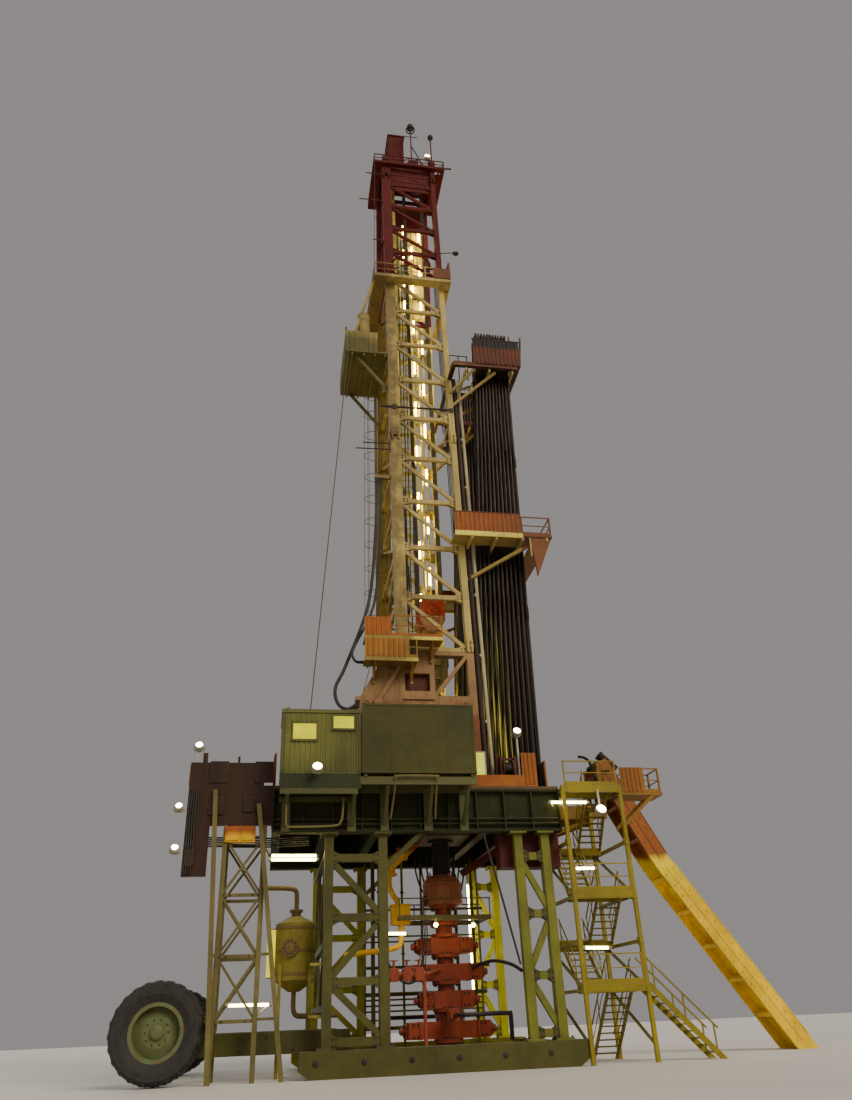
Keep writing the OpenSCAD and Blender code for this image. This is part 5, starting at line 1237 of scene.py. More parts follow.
def make_hoisting(sizes):
    face = 0.37
    plate = [(-0.13, 9.98), (0.13, 9.98), (0.31, 10.3), (0.31, 10.78), (0.16, 10.97), (-0.16, 10.97),
             (-0.31, 10.78), (-0.31, 10.3), (-0.13, 9.98)]
    trim = Shape()
    for side in SIDES:
        y = side * face
        trim.lathe((0, y, 10.55), (0, side, 0), [(0.13, -0.002), (0.13, 0.03), (0.1, 0.04), (0.06, 0.045)],
                   24)
        for a, b in zip(plate, plate[1:]):
            trim.bar((a[0], y + side * 0.006, a[1]), (b[0], y + side * 0.006, b[1]), 0.02, 0.022)
    for x in (-0.2, 0.2):
        trim.box(x - 0.05, x + 0.05, -0.3, 0.3, 10.0, 10.03)
    piece("block_trim", trim, "block_paint", "block", chamfer=0.003)
    rings = []
    for side in SIDES:
        turn = (side * -QUARTER, 0, 0)
        rings += [row((0, side * (face + 0.002), 10.55), turn, count=12, radius=0.19),
                  row((0, side * (face + 0.044), 10.55), turn, size=(0.6, 0.6, 0.6), count=6, radius=0.045)]
    rings += [row((0, 0, 8.649), (pi, 0, 0), count=12, radius=0.19),
              row((0, 0, 9.748), count=12, radius=0.19)]
    copies("block_bolts", bolt_unit(sizes.bolt_size), rings, body="block", in_ring=True)
    fins = [row((-0.25, y, 8.72), (0, 0, turn), size=(0.5, 1, 0.7), step=(0.05, 0, 0), count=11)
            for y, turn in ((-0.3, 0.0), (0.3, pi))]
    fins.append(row((0.33, -0.25, 8.72), (0, 0, QUARTER), size=(0.5, 1, 0.7), step=(0, 0.05, 0), count=11))
    copies("drive_fins", rib_unit(0.05, 0.03), fins, "cream_paint", "block")
    drive = Shape()
    drive.lathe((0, 0, 9.2), UP, [(0.24, 0), (0.24, 0.3), (0.2, 0.34)], 28)
    drive.ring((0, 0, 8.3), UP, 0.19, 0.14, 0.05)
    drive.ring((0, 0, 7.98), UP, 0.17, 0.14, 0.04)
    drive.box(-0.16, 0.16, -0.37, -0.29, 9.0, 9.32)
    drive.box(0.32, 0.42, -0.12, 0.12, 9.05, 9.35)
    for side in SIDES:
        drive.bent([(0.12, side * 0.31, 9.3), (0.2, side * 0.35, 9.0), (0.22, side * 0.35, 8.4),
                    (0.1, side * 0.22, 8.1)], 0.03)
        drive.rod((-0.09, side * 0.2, 8.62), (0.09, side * 0.2, 8.62), 0.1, 16)
    piece("drive_fittings", drive, "cream_paint", "block", chamfer=0.004)
    jaws = Shape()
    jaws.ring((0, 0, 6.205), UP, 0.2, 0.1, 0.03, 28)
    jaws.lathe((0, 0, 6.23), UP, [(0.14, 0), (0.1, 0.1), (0.092, 0.1), (0.092, 0)], 28, True)
    for side in SIDES:
        jaws.box(-0.06, 0.06, side * 0.2 - 0.05, side * 0.2 + 0.05, 6.12, 6.24)
        jaws.rod((-0.08, side * 0.2, 6.17), (0.08, side * 0.2, 6.17), 0.05, 12)
    jaws.box(0.22, 0.34, -0.05, 0.05, 6.03, 6.17)
    jaws.post(0.3, 0, 5.99, 6.21, 0.035, 10)
    piece("elevator_jaws", jaws, "dark_steel", "block", chamfer=0.003)


def make_winches(sizes):
    x, z = -2.65, 6.11
    wraps, pitch = [], 0.03
    for k in range(60):
        y0 = k * pitch
        wraps += [(0.283, y0), (0.298, y0 + pitch * 0.25), (0.303, y0 + pitch * 0.5),
                  (0.298, y0 + pitch * 0.75)]
    rope = Shape().lathe((x, -0.9, z), (0, 1, 0), wraps + [(0.283, 1.8)], 32)
    rope.rod((x + 0.28, 0.4, z + 0.1), (x + 1.1, 0.28, 9.5), 0.022, 6)
    piece("drawworks_rope", rope, "drum_rope")
    guard = Shape()
    hood = [radians(a) for a in range(20, 161, 10)]
    for side in SIDES:
        y = side * 0.93
        guard.loft([[(x + cos(t) * r, y + w, z + sin(t) * r) for r, w in
                     ((0.62, -0.04), (0.62, 0.04), (0.605, 0.04), (0.605, -0.04))] for t in hood])
        guard.lathe((x, side * 1.06, z), (0, side, 0),
                    [(0.16, -0.01), (0.16, 0.07), (0.12, 0.1), (0.07, 0.1)], 24)
        guard.box(x - 0.55, x + 0.55, y - 0.02, y + 0.02, 5.52, 5.6)
    guard.box(x - 0.7, x - 0.25, -0.5, 0.5, 5.53, 5.9)
    guard.box(x - 0.66, x - 0.3, -0.3, 0.3, 5.9, 5.97)
    for y in (-0.42, 0.42):
        guard.ring((x - 0.47, y - 0.03, 5.74), (0, 1, 0), 0.15, 0.1, 0.06)
    piece("drawworks_guards", guard, "orange_paint", chamfer=0.004)
    rings = [row((x, side * 1.062, z), facing(side), count=n, radius=r)
             for side in SIDES for r, n in ((0.5, 20), (0.22, 8))]
    copies("drawworks_bolts", bolt_unit(0.036), rings, in_ring=True)

    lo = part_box("floor_winch")[0]
    cx, y, z = lo.x, -2.28, 5.8
    wraps = []
    for k in range(9):
        wraps += [(0.122, k * 0.02), (0.138, k * 0.02 + 0.007), (0.138, k * 0.02 + 0.013)]
    rope = Shape().lathe((cx + 0.108, y, z), (1, 0, 0), wraps + [(0.122, 0.182)], 28)
    piece("floor_winch_rope", rope, "drum_rope")
    copies("floor_winch_teeth", Shape().box(-0.004, 0.016, -0.012, 0.012, 0, 0.026),
           [row((cx + 0.077, y, z), (0, QUARTER, 0), count=28, radius=0.19)], in_ring=True)
    extra = Shape()
    extra.lathe((cx + 0.365, y, z), (1, 0, 0), [(0.1, 0), (0.1, 0.05), (0.07, 0.07)], 20)
    extra.rod((cx - 0.03, y, z), (cx + 0.02, y, z), 0.07, 12)
    extra.bar((cx - 0.02, y, z), (cx - 0.02, y + 0.02, z + 0.3), 0.02, 0.03)
    extra.rod((cx - 0.1, y + 0.02, z + 0.3), (cx - 0.01, y + 0.02, z + 0.3), 0.03, 8)
    extra.box(cx + 0.1, cx + 0.3, y + 0.04, y + 0.14, 5.41, 5.58)
    piece("floor_winch_fittings", extra, "winch_paint", chamfer=0.003)


def handwheel(shape, at, axis, r):
    side, top = across(axis)
    at = Vector(at)
    rim = [tau * k / 16 for k in range(16)]
    shape.tube([at + (side * cos(t) + top * sin(t)) * r for t in rim], r * 0.2, 6, True)
    for t in (0, pi / 3, 2 * pi / 3):
        arm = (side * cos(t) + top * sin(t)) * r
        shape.rod(at - arm, at + arm, r * 0.12, 6)
    shape.rod(at - Vector(axis) * r * 0.7, at + Vector(axis) * r * 0.2, r * 0.3, 8)


def make_preventer(sizes):
    rings = [row((0, 0, z), count=16, radius=0.27) for z in (0.48, 1.06, 1.6, 2.14, 2.8, 3.16)]
    rings.append(row((0, 0, 0.05), size=(1.2, 1.2, 0.7), count=20, radius=0.4))
    stud = Shape()
    stud.post(0, 0, -0.075, 0.075, 0.024)
    for z in (-0.062, 0.04):
        stud.post(0, 0, z, z + 0.024, 0.046, 6)
    copies("preventer_studs", stud, rings, in_ring=True)
    bonnets, faces = [], []
    for z, half in RAMS:
        for side in SIDES:
            bonnets.append(row((side * (half + 0.062), 0, z + 0.165), (0, side * QUARTER, 0), count=8,
                               radius=0.11))
            for y in (-0.232, 0.232):
                turn = (QUARTER if y < 0 else -QUARTER, 0, 0)
                for up in (0.05, 0.28):
                    faces.append(row((side * (half - 0.2), y, z + up), turn, step=(side * 0.09, 0, 0),
                                     count=2))
    bonnets.append(row((0, 0, 3.838), count=14, radius=0.33))
    copies("bonnet_bolts", bolt_unit(0.04, 0.03), bonnets, in_ring=True)
    copies("ram_bolts", bolt_unit(0.04, 0.028), faces)

    body = Shape()
    for z, half in RAMS:
        for side in SIDES:
            end = side * (half + 0.06)
            body.lathe((end, 0, z + 0.165), (side, 0, 0), [(0.075, -0.01), (0.075, 0.1), (0.05, 0.12)], 16)
            body.box(*on_side(side, half - 0.28, half - 0.24), -0.26, 0.26, z - 0.01, z + 0.34)
    body.ring((0, 0, 3.36), UP, 0.475, 0.44, 0.05, 40)
    body.ring((0, 0, 3.62), UP, 0.46, 0.4, 0.05, 40)
    body.ring((0, 0, 3.22), UP, 0.46, 0.4, 0.06, 40)
    for t in (0.4, 0.4 + QUARTER, 0.4 + pi, 0.4 + 3 * QUARTER):
        lifting_eye(body, cos(t) * 0.36, sin(t) * 0.36, 3.78, 0.06)
    for side in SIDES:
        y = side * 0.62
        body.box(-0.12, 0.12, *on_side(side, 0.62, 0.82), 0.83, 1.08)
        for q in (0.5, 0.9):
            body.ring((0, side * q, 0.955), (0, side, 0), 0.12, 0.06, 0.04)
        handwheel(body, (0.2, y + side * 0.1, 0.955), (1, 0, 0), 0.12)
        handwheel(body, (-0.36, side * 0.42, 1.32), (0, side, 0), 0.1)
    piece("preventer_fittings", body, "bop_red_paint", chamfer=0.004)

    lines = Shape()
    lines.bent([(0.56, -0.26, 1.86), (0.7, -0.5, 1.93), (0.85, -1.2, 1.95), (1.02, -1.9, 1.84),
                (1.14, -2.26, 1.7)], 0.07, 10, 6)
    lines.bent([(0.5, -2.42, 4.39), (0.55, -2.43, 4.1), (0.72, -2.44, 3.4), (0.88, -2.44, 2.7),
                (1.08, -2.44, 1.8)], 0.045, 8, 6)
    lines.bent([(0, -0.94, 0.955), (0, -1.3, 0.955), (0.06, -1.42, 0.955), (0.2, -1.45, 0.955),
                (1.0, -1.45, 0.955), (1.05, -1.45, 0.9), (1.05, -1.45, 0.46)], 0.09, 10)
    lines.bent([(0, 0.94, 0.955), (0, 1.3, 0.955), (-0.06, 1.42, 0.955), (-0.2, 1.45, 0.955),
                (-1.2, 1.45, 0.955), (-1.25, 1.45, 0.9), (-1.25, 1.45, 0.0)], 0.09, 10)
    for n in range(4):
        x = -0.34 - 0.035 * n
        lines.bent([(x, -0.2, 3.4), (x - 0.14, -0.34, 3.1), (x - 0.1, -0.33, 2.5),
                    (x - 0.22, -0.34, 1.6 + 0.1 * n), (x - 0.1, -0.24, 1.35 + 0.1 * n)], 0.024, 6)
    piece("cellar_lines", lines, "dark_steel")
    piece("cellar_arm", Shape().bar((0.42, -0.3, 3.85), (1.62, -0.3, 4.52), 0.14, 0.16), "board_wall_paint")
    deck = Shape()
    for y in (-0.62, 0.62):
        deck.bar((-1.12, y, 2.9), (0.98, y, 2.88), 0.05, 0.1)
        deck.rod((-1.12, y, 3.3), (0.98, y, 3.28), 0.03, 8)
        for x in (-1.1, -0.58, -0.07, 0.45, 0.96):
            deck.post(x, y, 2.9, 3.3, 0.03)
    for x in (-1.1, -0.35, 0.35, 0.96):
        deck.bar((x, -0.62, 2.89), (x, 0.62, 2.89), 0.05, 0.08)
    deck.box(-0.37, 0.37, -0.37, -0.25, 2.85, 2.93)
    deck.box(-0.37, 0.37, 0.25, 0.37, 2.85, 2.93)
    piece("stack_walkway", deck, "tower_paint", chamfer=0.003)
    runs = Shape()
    for x, y, d in ((-1.5, 1.2, 0.1), (-1.3, 1.6, 0.07), (-0.7, 1.75, 0.06), (0.6, 1.5, 0.08),
                    (0.95, 1.15, 0.06)):
        runs.post(x, y, 0.0, 4.45, d, 10)
        for z in (0.9, 2.3, 3.7):
            runs.ring((x, y, z), UP, d * 0.85, d * 0.5, 0.04, 12)
    for y, z, d in ((1.2, 2.0, 0.07), (1.6, 1.45, 0.09), (1.6, 3.3, 0.06), (1.75, 0.75, 0.08)):
        runs.rod((-1.66, y, z), (1.3, y, z), d, 10)
    for z in (1.1, 1.22, 1.34, 2.6, 2.72):
        runs.rod((-1.62, 1.85, z), (1.25, 1.85, z), 0.04, 8)
    for x in (-1.62, -0.2, 1.25):
        runs.bar((x, 1.88, 0.0), (x, 1.88, 4.42), 0.05, 0.05)
    piece("cellar_pipe_runs", runs, "green_paint")
    hoses = Shape()
    for n in range(6):
        x, y = -0.2 + 0.16 * n, 0.75 + 0.1 * (n % 3)
        hoses.bent([(x - 0.3, y, 4.42), (x - 0.28, y, 4.0), (x - 0.1, y - 0.05, 3.55 - 0.05 * n),
                    (x + 0.12, y, 3.9), (x + 0.2, y, 4.42)], 0.04, 8, 6)
    for n in range(3):
        hoses.bent([(-0.4, -0.2 - 0.03 * n, 1.86), (-0.9, -0.35, 1.72 - 0.06 * n), (-1.3, -0.5, 1.9),
                    (-1.6, -0.9, 2.4 + 0.1 * n), (-1.66, -1.6, 2.9), (-1.68, -2.2, 3.0 + 0.06 * n)], 0.05,
                   8, 6)
    piece("cellar_hoses", hoses, "hose_rubber")
    manifold = Shape()
    manifold.rod((-1.45, -0.95, 1.74), (-0.62, -0.95, 1.74), 0.14, 14)
    for x in (-1.3, -1.02, -0.76):
        manifold.box(x - 0.09, x + 0.09, -1.05, -0.85, 1.62, 1.88)
        manifold.post(x, -0.95, 1.84, 2.02, 0.05, 10)
        handwheel(manifold, (x, -0.95, 2.02), (0, 0, 1), 0.09)
        for off in (-0.11, 0.09):
            manifold.ring((x + off, -0.95, 1.74), (1, 0, 0), 0.1, 0.06, 0.02, 16)
    for x in (-1.42, -0.65):
        manifold.box(x - 0.03, x + 0.03, -1.0, -0.9, 0.0, 1.7)
    manifold.rod((-0.62, -0.95, 1.74), (-0.2, -0.3, 1.84), 0.09, 12)
    piece("choke_manifold", manifold, "bop_red_paint", chamfer=0.004)
    flow = Shape()
    flow.rod((-0.55, -0.22, 4.66), (-1.2, -0.3, 4.12), 0.26, 18)
    flow.bent([(-1.12, -0.29, 4.19), (-1.24, -0.31, 4.08), (-1.28, -0.32, 3.95), (-1.28, -0.32, 3.84)],
              0.28, 16)
    flow.ring((-0.95, -0.27, 4.33), (-0.77, -0.1, -0.64), 0.18, 0.11, 0.05, 24)
    flow.ring((-1.28, -0.32, 3.82), UP, 0.18, 0.11, 0.05, 24)
    flow.bent([(-1.28, -0.32, 3.86), (-1.28, -0.32, 3.6), (-1.2, -0.32, 3.4), (-1.12, -0.32, 3.3),
               (-1.1, -0.32, 3.16)], 0.12, 12)
    flow.box(-1.26, -0.84, -0.5, -0.14, 2.78, 3.18)
    flow.box(-1.28, -0.82, -0.52, -0.12, 3.16, 3.2)
    flow.bent([(-1.04, -0.32, 2.8), (-1.04, -0.32, 2.45), (-1.12, -0.32, 2.34), (-1.4, -0.3, 2.28),
               (-2.3, -0.3, 2.2)], 0.12, 10)
    piece("flow_line", flow, "flow_paint", chamfer=0.004)


def make_substructure(sizes):
    bolts, plates = [], []
    for x in COLUMN_X:
        for side in SIDES:
            for z, flip in ((0.49, 0.0), (4.35, pi)):
                for y in (-0.14, 0.14):
                    bolts.append(row((x - 0.14, side * COLUMN_Y + y, z), (flip, 0, 0), step=(0.28, 0, 0),
                                     count=2))
            for z in (0.58, 1.6, 2.75, 3.89):
                rear = x in COLUMN_X[::2]
                plates.append(row((x + (0.09 if rear else -0.09), side * COLUMN_Y, z),
                                  (0, 0, 0 if rear else pi)))
    copies("column_bolts", bolt_unit(0.045, 0.03), bolts)
    gusset = Shape()
    for y in (-0.076, 0.064):
        gusset.slab([(-0.02, -0.15), (0.13, -0.07), (0.13, 0.07), (-0.02, 0.15)], (0, y + 0.012, 0),
                    (1, 0, 0), (0, 0, 1), 0.012)
    copies("column_gussets", gusset, plates, "green_paint")
    face_bolts = []
    for start in plates:
        x, y, z = start["at"]
        way = 1 if start["turn"][2] == 0 else -1
        for side in SIDES:
            for up in (-0.06, 0.06):
                face_bolts.append(row((x + way * 0.03, y + side * 0.076, z + up), facing(side),
                                      step=(way * 0.07, 0, 0), count=2))
    copies("gusset_bolts", bolt_unit(sizes.bolt_size), face_bolts)

    splice = [row((x, side * 2.408, z), facing(side), step=(0.08, 0, 0), count=4)
              for side in SIDES for x in (-1.2, 1.0) for z in (4.52, 4.7, 4.88, 5.06)]
    copies("girder_bolts", bolt_unit(0.036), splice, "dark_green_paint")
    trim = Shape()
    for x in (-1.24, 0.96):
        trim.box(x, x + 0.32, -2.41, -2.395, 4.46, 5.22)
    for z in (4.56, 4.66):
        trim.rod((-3.95, -2.46, z), (2.2, -2.46, z), 0.05, 8)
    piece("girder_splices", trim.mirrored(), "dark_green_paint")
    rods = Shape()
    for side in SIDES:
        for x in (COLUMN_X[0], COLUMN_X[3]):
            rods.box(x - 0.025, x + 0.025, side * COLUMN_Y - 0.02, side * COLUMN_Y + 0.02, 4.33, 4.4)
    for x in (-1.9, 0.2, 1.1):
        rods.rod((x, -2.1, 0.32), (x, 2.1, 0.32), 0.08, 10)
    piece("cellar_pipes", rods, "green_paint")
    hole = Shape().lathe((0, 0, -0.01), UP, [(0.06, 0), (0.06, 0.014), (0.045, 0.02)], 16)
    lugs = [row((-3.0, side * 2.6, 0.25), facing(side), step=(0.9, 0, 0), count=6) for side in SIDES]
    copies("skid_lugs", hole, lugs)
    ring = Shape()
    ring.ring((0, 0, 5.345), UP, 0.42, 0.245, 0.03, 48)
    ring.ring((0, 0, 5.345), UP, 0.62, 0.5, 0.012, 48)
    piece("rotary_bushing", ring, "dark_steel", chamfer=0.003)
    copies("rotary_pins", bolt_unit(0.05, 0.03), [row((0, 0, 5.357), count=16, radius=0.56),
                                                  row((0, 0, 5.375), count=4, radius=0.33)], in_ring=True)


def make_wheels(sizes):
    lug = Shape().loft([[(r - 0.02, t - 0.028, w), (r + 0.014, t - 0.02, w), (r + 0.014, t + 0.02, w),
                         (r - 0.02, t + 0.028, w)]
                        for r, t, w in ((-0.012, 0.0, 0.012), (-0.014, 0.03, 0.12), (-0.032, 0.06, 0.2),
                                        (-0.072, 0.09, 0.285))])
    rim_bolt = bolt_unit(0.05, 0.03)
    for body, side in (("near_wheel", -1), ("far_wheel", 1)):
        y = side * WHEEL_Y
        rings = [row((WHEEL_X, y, WHEEL_Z), (QUARTER, 0, 0), count=24, radius=0.862),
                 row((WHEEL_X, y, WHEEL_Z), (-QUARTER, pi / 24, 0), count=24, radius=0.862)]
        copies(body + "_lugs", lug, rings, "tyre_rubber", body, in_ring=True)
        copies(body + "_bolts", rim_bolt, [row((WHEEL_X, y + side * 0.06, WHEEL_Z), facing(side), count=10,
                                               radius=0.21)], body=body, in_ring=True)
        rim = Shape()
        rim.lathe((WHEEL_X, y + side * 0.05, WHEEL_Z), (0, side, 0),
                  [(0.13, 0), (0.13, 0.07), (0.1, 0.1), (0.05, 0.11)], 28)
        for r, w in ((0.6, 0.268), (0.7, 0.3)):
            rim.ring((WHEEL_X, y + side * w - 0.01, WHEEL_Z), (0, 1, 0), r + 0.012, r - 0.012, 0.02, 48)
        rim.rod((-5.5, y + side * 0.1, WHEEL_Z), (-5.46, y + side * 0.2, WHEEL_Z), 0.02, 8)
        piece(body + "_trim", rim, "tyre_rubber", body, chamfer=0.003)
    frame_bolts = [row((-5.4, side * 1.92, z), facing(side), step=(0.5, 0, 0), count=6)
                   for side in SIDES for z in (0.5, 0.72)]
    copies("wheel_frame_bolts", bolt_unit(0.04), frame_bolts)


def make_rear_side(sizes):
    tank = Shape()
    x, y = TANK_X, TANK_Y
    for z in (1.78, 2.2, 2.64):
        tank.ring((x, y, z), UP, 0.425, 0.405, 0.05, 40)
    tank.ring((x - 0.1, y - 0.4, 2.28), (-0.24, -0.97, 0), 0.17, 0.1, 0.07, 24)
    tank.lathe((x - 0.1, y - 0.39, 2.28), (-0.24, -0.97, 0), [(0.14, 0), (0.14, 0.06), (0.1, 0.08)], 24)
    tank.lathe((x, y, 2.86), UP, [(0.1, 0), (0.1, 0.12), (0.14, 0.12), (0.14, 0.16), (0.08, 0.17)], 20)
    tank.box(x - 0.56, x - 0.4, y - 0.12, y - 0.02, 1.74, 2.66)
    tank.bent([(x, y, 2.95), (x, y, 3.3), (x - 0.04, y, 3.42), (x - 0.2, y, 3.46),
               (x - 0.7, y - 0.1, 3.46)], 0.1, 10)
    tank.bent([(x, y, 1.5), (x, y, 1.2), (x + 0.05, y, 1.08), (x + 0.2, y, 1.05), (x + 0.9, y + 0.3, 1.05)],
              0.1, 10)
    piece("tank_fittings", tank, "cream_paint", chamfer=0.003)
    copies("tank_bolts", bolt_unit(0.03),
           [row((x - 0.117, y - 0.468, 2.28), (QUARTER, 0, -0.243), count=10, radius=0.12),
            row((x, y, 3.02), count=8, radius=0.115)], in_ring=True)
    box = Shape()
    box.box(-4.93, -4.32, -2.53, -2.36, 4.2, 4.52)
    box.box(-4.9, -4.66, -2.55, -2.52, 4.23, 4.49)
    box.box(-4.6, -4.36, -2.55, -2.52, 4.23, 4.49)
    box.box(-4.8, -4.4, -2.47, -2.4, 4.51, 4.56)
    piece("tower_box", box, "flow_paint", chamfer=0.006)
    boxes = Shape()
    for x0, y0, z0, wide, high in ((-5.3, -2.535, 4.75, 0.3, 0.36), (-4.6, -2.535, 4.8, 0.22, 0.3),
                                   (-5.68, -2.54, 3.75, 0.18, 0.3), (-5.6, -2.2, 5.35, 0.35, 0.34),
                                   (-5.1, -1.9, 5.35, 0.5, 0.42)):
        boxes.box(x0, x0 + wide, y0, y0 + (0.06 if y0 < -2.4 else 0.4), z0, z0 + high)
    boxes.post(-5.45, -2.42, 5.35, 6.05, 0.06, 10)
    boxes.post(-4.75, -2.42, 5.35, 5.98, 0.05, 10)
    boxes.box(-5.5, -5.4, -2.45, -2.39, 5.8, 6.05)
    piece("rear_boxes", boxes, "rear_deck_paint", chamfer=0.005)
    runs = Shape()
    for n in range(5):
        z = 4.42 - 0.05 * n
        runs.bent([(-5.66, -1.9 - 0.04 * n, z), (-4.9, -1.93 - 0.04 * n, z - 0.03),
                   (-4.1, -1.9 - 0.04 * n, z - 0.04), (-3.2, -1.92 - 0.04 * n, z)], 0.034, 6, 4)
    for n in range(4):
        x = -5.69 + 0.045 * n
        runs.bent([(x, -2.53, 3.6), (x + 0.01, -2.535, 4.2), (x - 0.01, -2.53, 4.7), (x, -2.53, 5.25)],
                  0.026, 6, 4)
    piece("rear_cables", runs, "hose_rubber")
    joints = []
    for x in (-4.92, -4.14):
        for y0 in (-2.45, -1.5):
            for z in (1.0, 2.1, 3.2, 4.3):
                side = -1 if y0 < -2 else 1
                joints.append(row((x + (0.05 if x < -4.5 else -0.17), y0 + side * 0.046, z), facing(side),
                                  step=(0.12, 0, 0), count=2))
    copies("tower_bolts", bolt_unit(0.026), joints)


def make_stairs(sizes):
    rails = Shape()
    flights = [(3.3, -1.14, 4.25, -2.03, 5.35), (2.66, -2.03, 3.15, -1.14, 4.25),
               (3.3, -1.14, 2.275, -2.03, 3.15), (2.66, -2.03, 1.4, -1.14, 2.275),
               (3.3, -0.52, 0.0, -2.03, 1.4)]
    for x, ya, za, yb, zb in flights:
        for side in SIDES:
            edge = x + side * 0.272
            a, b = (edge, ya, za + 0.47), (edge, yb, zb + 0.47)
            rails.rod(a, b, 0.032, 8)
            c, d = (edge, ya, za + 0.22), (edge, yb, zb + 0.22)
            rails.rod(between(c, d, 0.03), between(c, d, 0.97), 0.02, 6)
            for t in (0.06, 0.5, 0.94):
                low = between((edge, ya, za - 0.04), (edge, yb, zb - 0.04), t)
                rails.rod(low, (low[0], low[1], low[2] + 0.5), 0.024, 6)
    piece("stair_handrails", rails, "stair_paint")
    noses = []
    for x, ya, za, yb, zb in flights:
        n = round((zb - za) / 0.125)
        step = ((yb - ya) / n, (zb - za) / n)
        front = 0.06 if yb > ya else -0.06
        noses.append(row((x, ya + step[0] - front * 0.96, za + step[1] + 0.001), step=(0, step[0], step[1]),
                         count=n - 1))
    copies("stair_nosings", Shape().box(-0.25, 0.25, -0.008, 0.008, -0.012, 0.006), noses, "tower_paint")
    kick = Shape()
    for z in (5.35, 3.15, 1.4):
        kick.box(2.37, 3.59, -2.655, -2.645, z - 0.14, z - 0.02)
    for z in (4.25, 2.275):
        kick.box(2.37, 3.59, -0.525, -0.515, z - 0.14, z + 0.08)
    for x in (2.32, 3.64):
        for z in (1.29, 2.165, 3.04, 4.14, 5.24):
            kick.box(x - 0.045, x + 0.045, -2.66, -2.5, z - 0.07, z + 0.07)
    piece("stair_plates", kick, "stair_paint", chamfer=0.003)


def make_slide(sizes):
    trim = Shape()
    head, bend, foot = Vector((4.15, 0, 6.5)), Vector((5.42, 0, 4.08)), Vector((8.23, 0, 0.0))
    for a, b, t0, t1 in ((head, bend, 0.03, 0.97), (bend, foot, 0.03, 0.955)):
        way = (b - a).normalized()
        up = Vector((-way.z, 0, way.x))
        for y in (-0.25, 0.0, 0.25):
            p, q = a + (b - a) * t0 + up * 0.006, a + (b - a) * t1 + up * 0.006
            trim.bar((p.x, y, p.z), (q.x, y, q.z), 0.03, 0.016)
        for side in SIDES:
            p, q = a + (b - a) * t0, a + (b - a) * t1
            for off, wide in ((0.19, 0.07), (-0.235, 0.06)):
                u, v = p + up * off, q + up * off
                trim.bar((u.x, side * 0.375, u.z), (v.x, side * 0.375, v.z), wide, 0.022)
            u, v = p - up * 0.03, q - up * 0.03
            trim.bar((u.x, side * 0.404, u.z), (v.x, side * 0.404, v.z), 0.014, 0.03)
    piece("slide_trim", trim, "slide_paint", chamfer=0.003)
    bolts = []
    for a, b, n in ((head, bend, 9), (bend, foot, 16)):
        step = (b - a) / (n + 1)
        way = (b - a).normalized()
        up = Vector((-way.z, 0, way.x))
        for side in SIDES:
            for off in (0.1, -0.16):
                p = a + step + up * off
                bolts.append(row((p.x, side * 0.4, p.z), facing(side), step=tuple(step), count=n - 1))
    copies("slide_bolts", bolt_unit(sizes.bolt_size), bolts, "slide_paint")
    roll = Shape()
    roll.rod((4.1, -0.34, 6.48), (4.1, 0.34, 6.48), 0.11, 20)
    roll.rod((4.1, -0.46, 6.48), (4.1, 0.46, 6.48), 0.04, 10)
    roll.rod((4.2, -0.2, 6.72), (4.62, -0.2, 6.33), 0.22, 20)
    roll.ring((4.21, -0.2, 6.71), (0.42, 0, -0.39), 0.125, 0.09, 0.04, 20)
    roll.bent([(3.93, -0.36, 5.35), (3.93, -0.36, 6.0), (3.92, -0.36, 6.35), (3.86, -0.36, 6.52),
               (3.74, -0.36, 6.6), (3.6, -0.36, 6.62)], 0.07, 10)
    roll.box(3.87, 3.99, -0.42, -0.3, 5.345, 5.38)
    roll.box(3.88, 3.98, -0.4, -0.32, 5.9, 6.12)
    piece("slide_head_fittings", roll, "dark_green_paint", chamfer=0.003)


LAMPS = [(-3.137, -3.4503, 5.44, 1.15), (1.43, -2.4, 6.56, 1.0), (3.1, -2.6703, 4.75, 1.25),
         (-5.6, -2.43, 6.15, 0.9), (-5.89, -2.475, 4.87, 0.8), (-5.89, -2.475, 4.05, 0.8),
         (0.43, -0.96, 28.5, 1.2)]
# Tube lamps: two ends of each, and the point that its arm is fixed to.
TUBES = [((-4.0, -1.22, 4.06), (-2.98, -1.22, 4.05), (-4.14, -1.5, 4.3)),
         ((-4.0, -1.3, 4.13), (-2.98, -1.3, 4.12), (-4.14, -1.5, 4.3)),
         ((-4.7, -1.56, 1.28), (-3.86, -1.56, 1.27), (-4.14, -1.5, 1.05)),
         ((-1.49, -0.9, 2.56), (-0.99, -0.9, 2.55), (-1.68, -2.3, 2.75)),
         ((2.0, -2.58, 4.98), (2.87, -2.58, 4.98), (2.1, -2.5, 4.9)),
         ((2.4, -2.56, 3.6), (2.86, -2.56, 3.6), (2.4, -2.62, 3.4)),
         ((2.42, -2.54, 2.06), (2.96, -2.54, 2.05), (2.36, -2.6, 2.1))]
MAST_LAMPS = [(0.3 if k % 2 else 0.02, 8.2 + 0.86 * k) for k in range(22)]
MAST_LAMPS += [(-0.28, 22.8 + 1.2 * k) for k in range(4)]


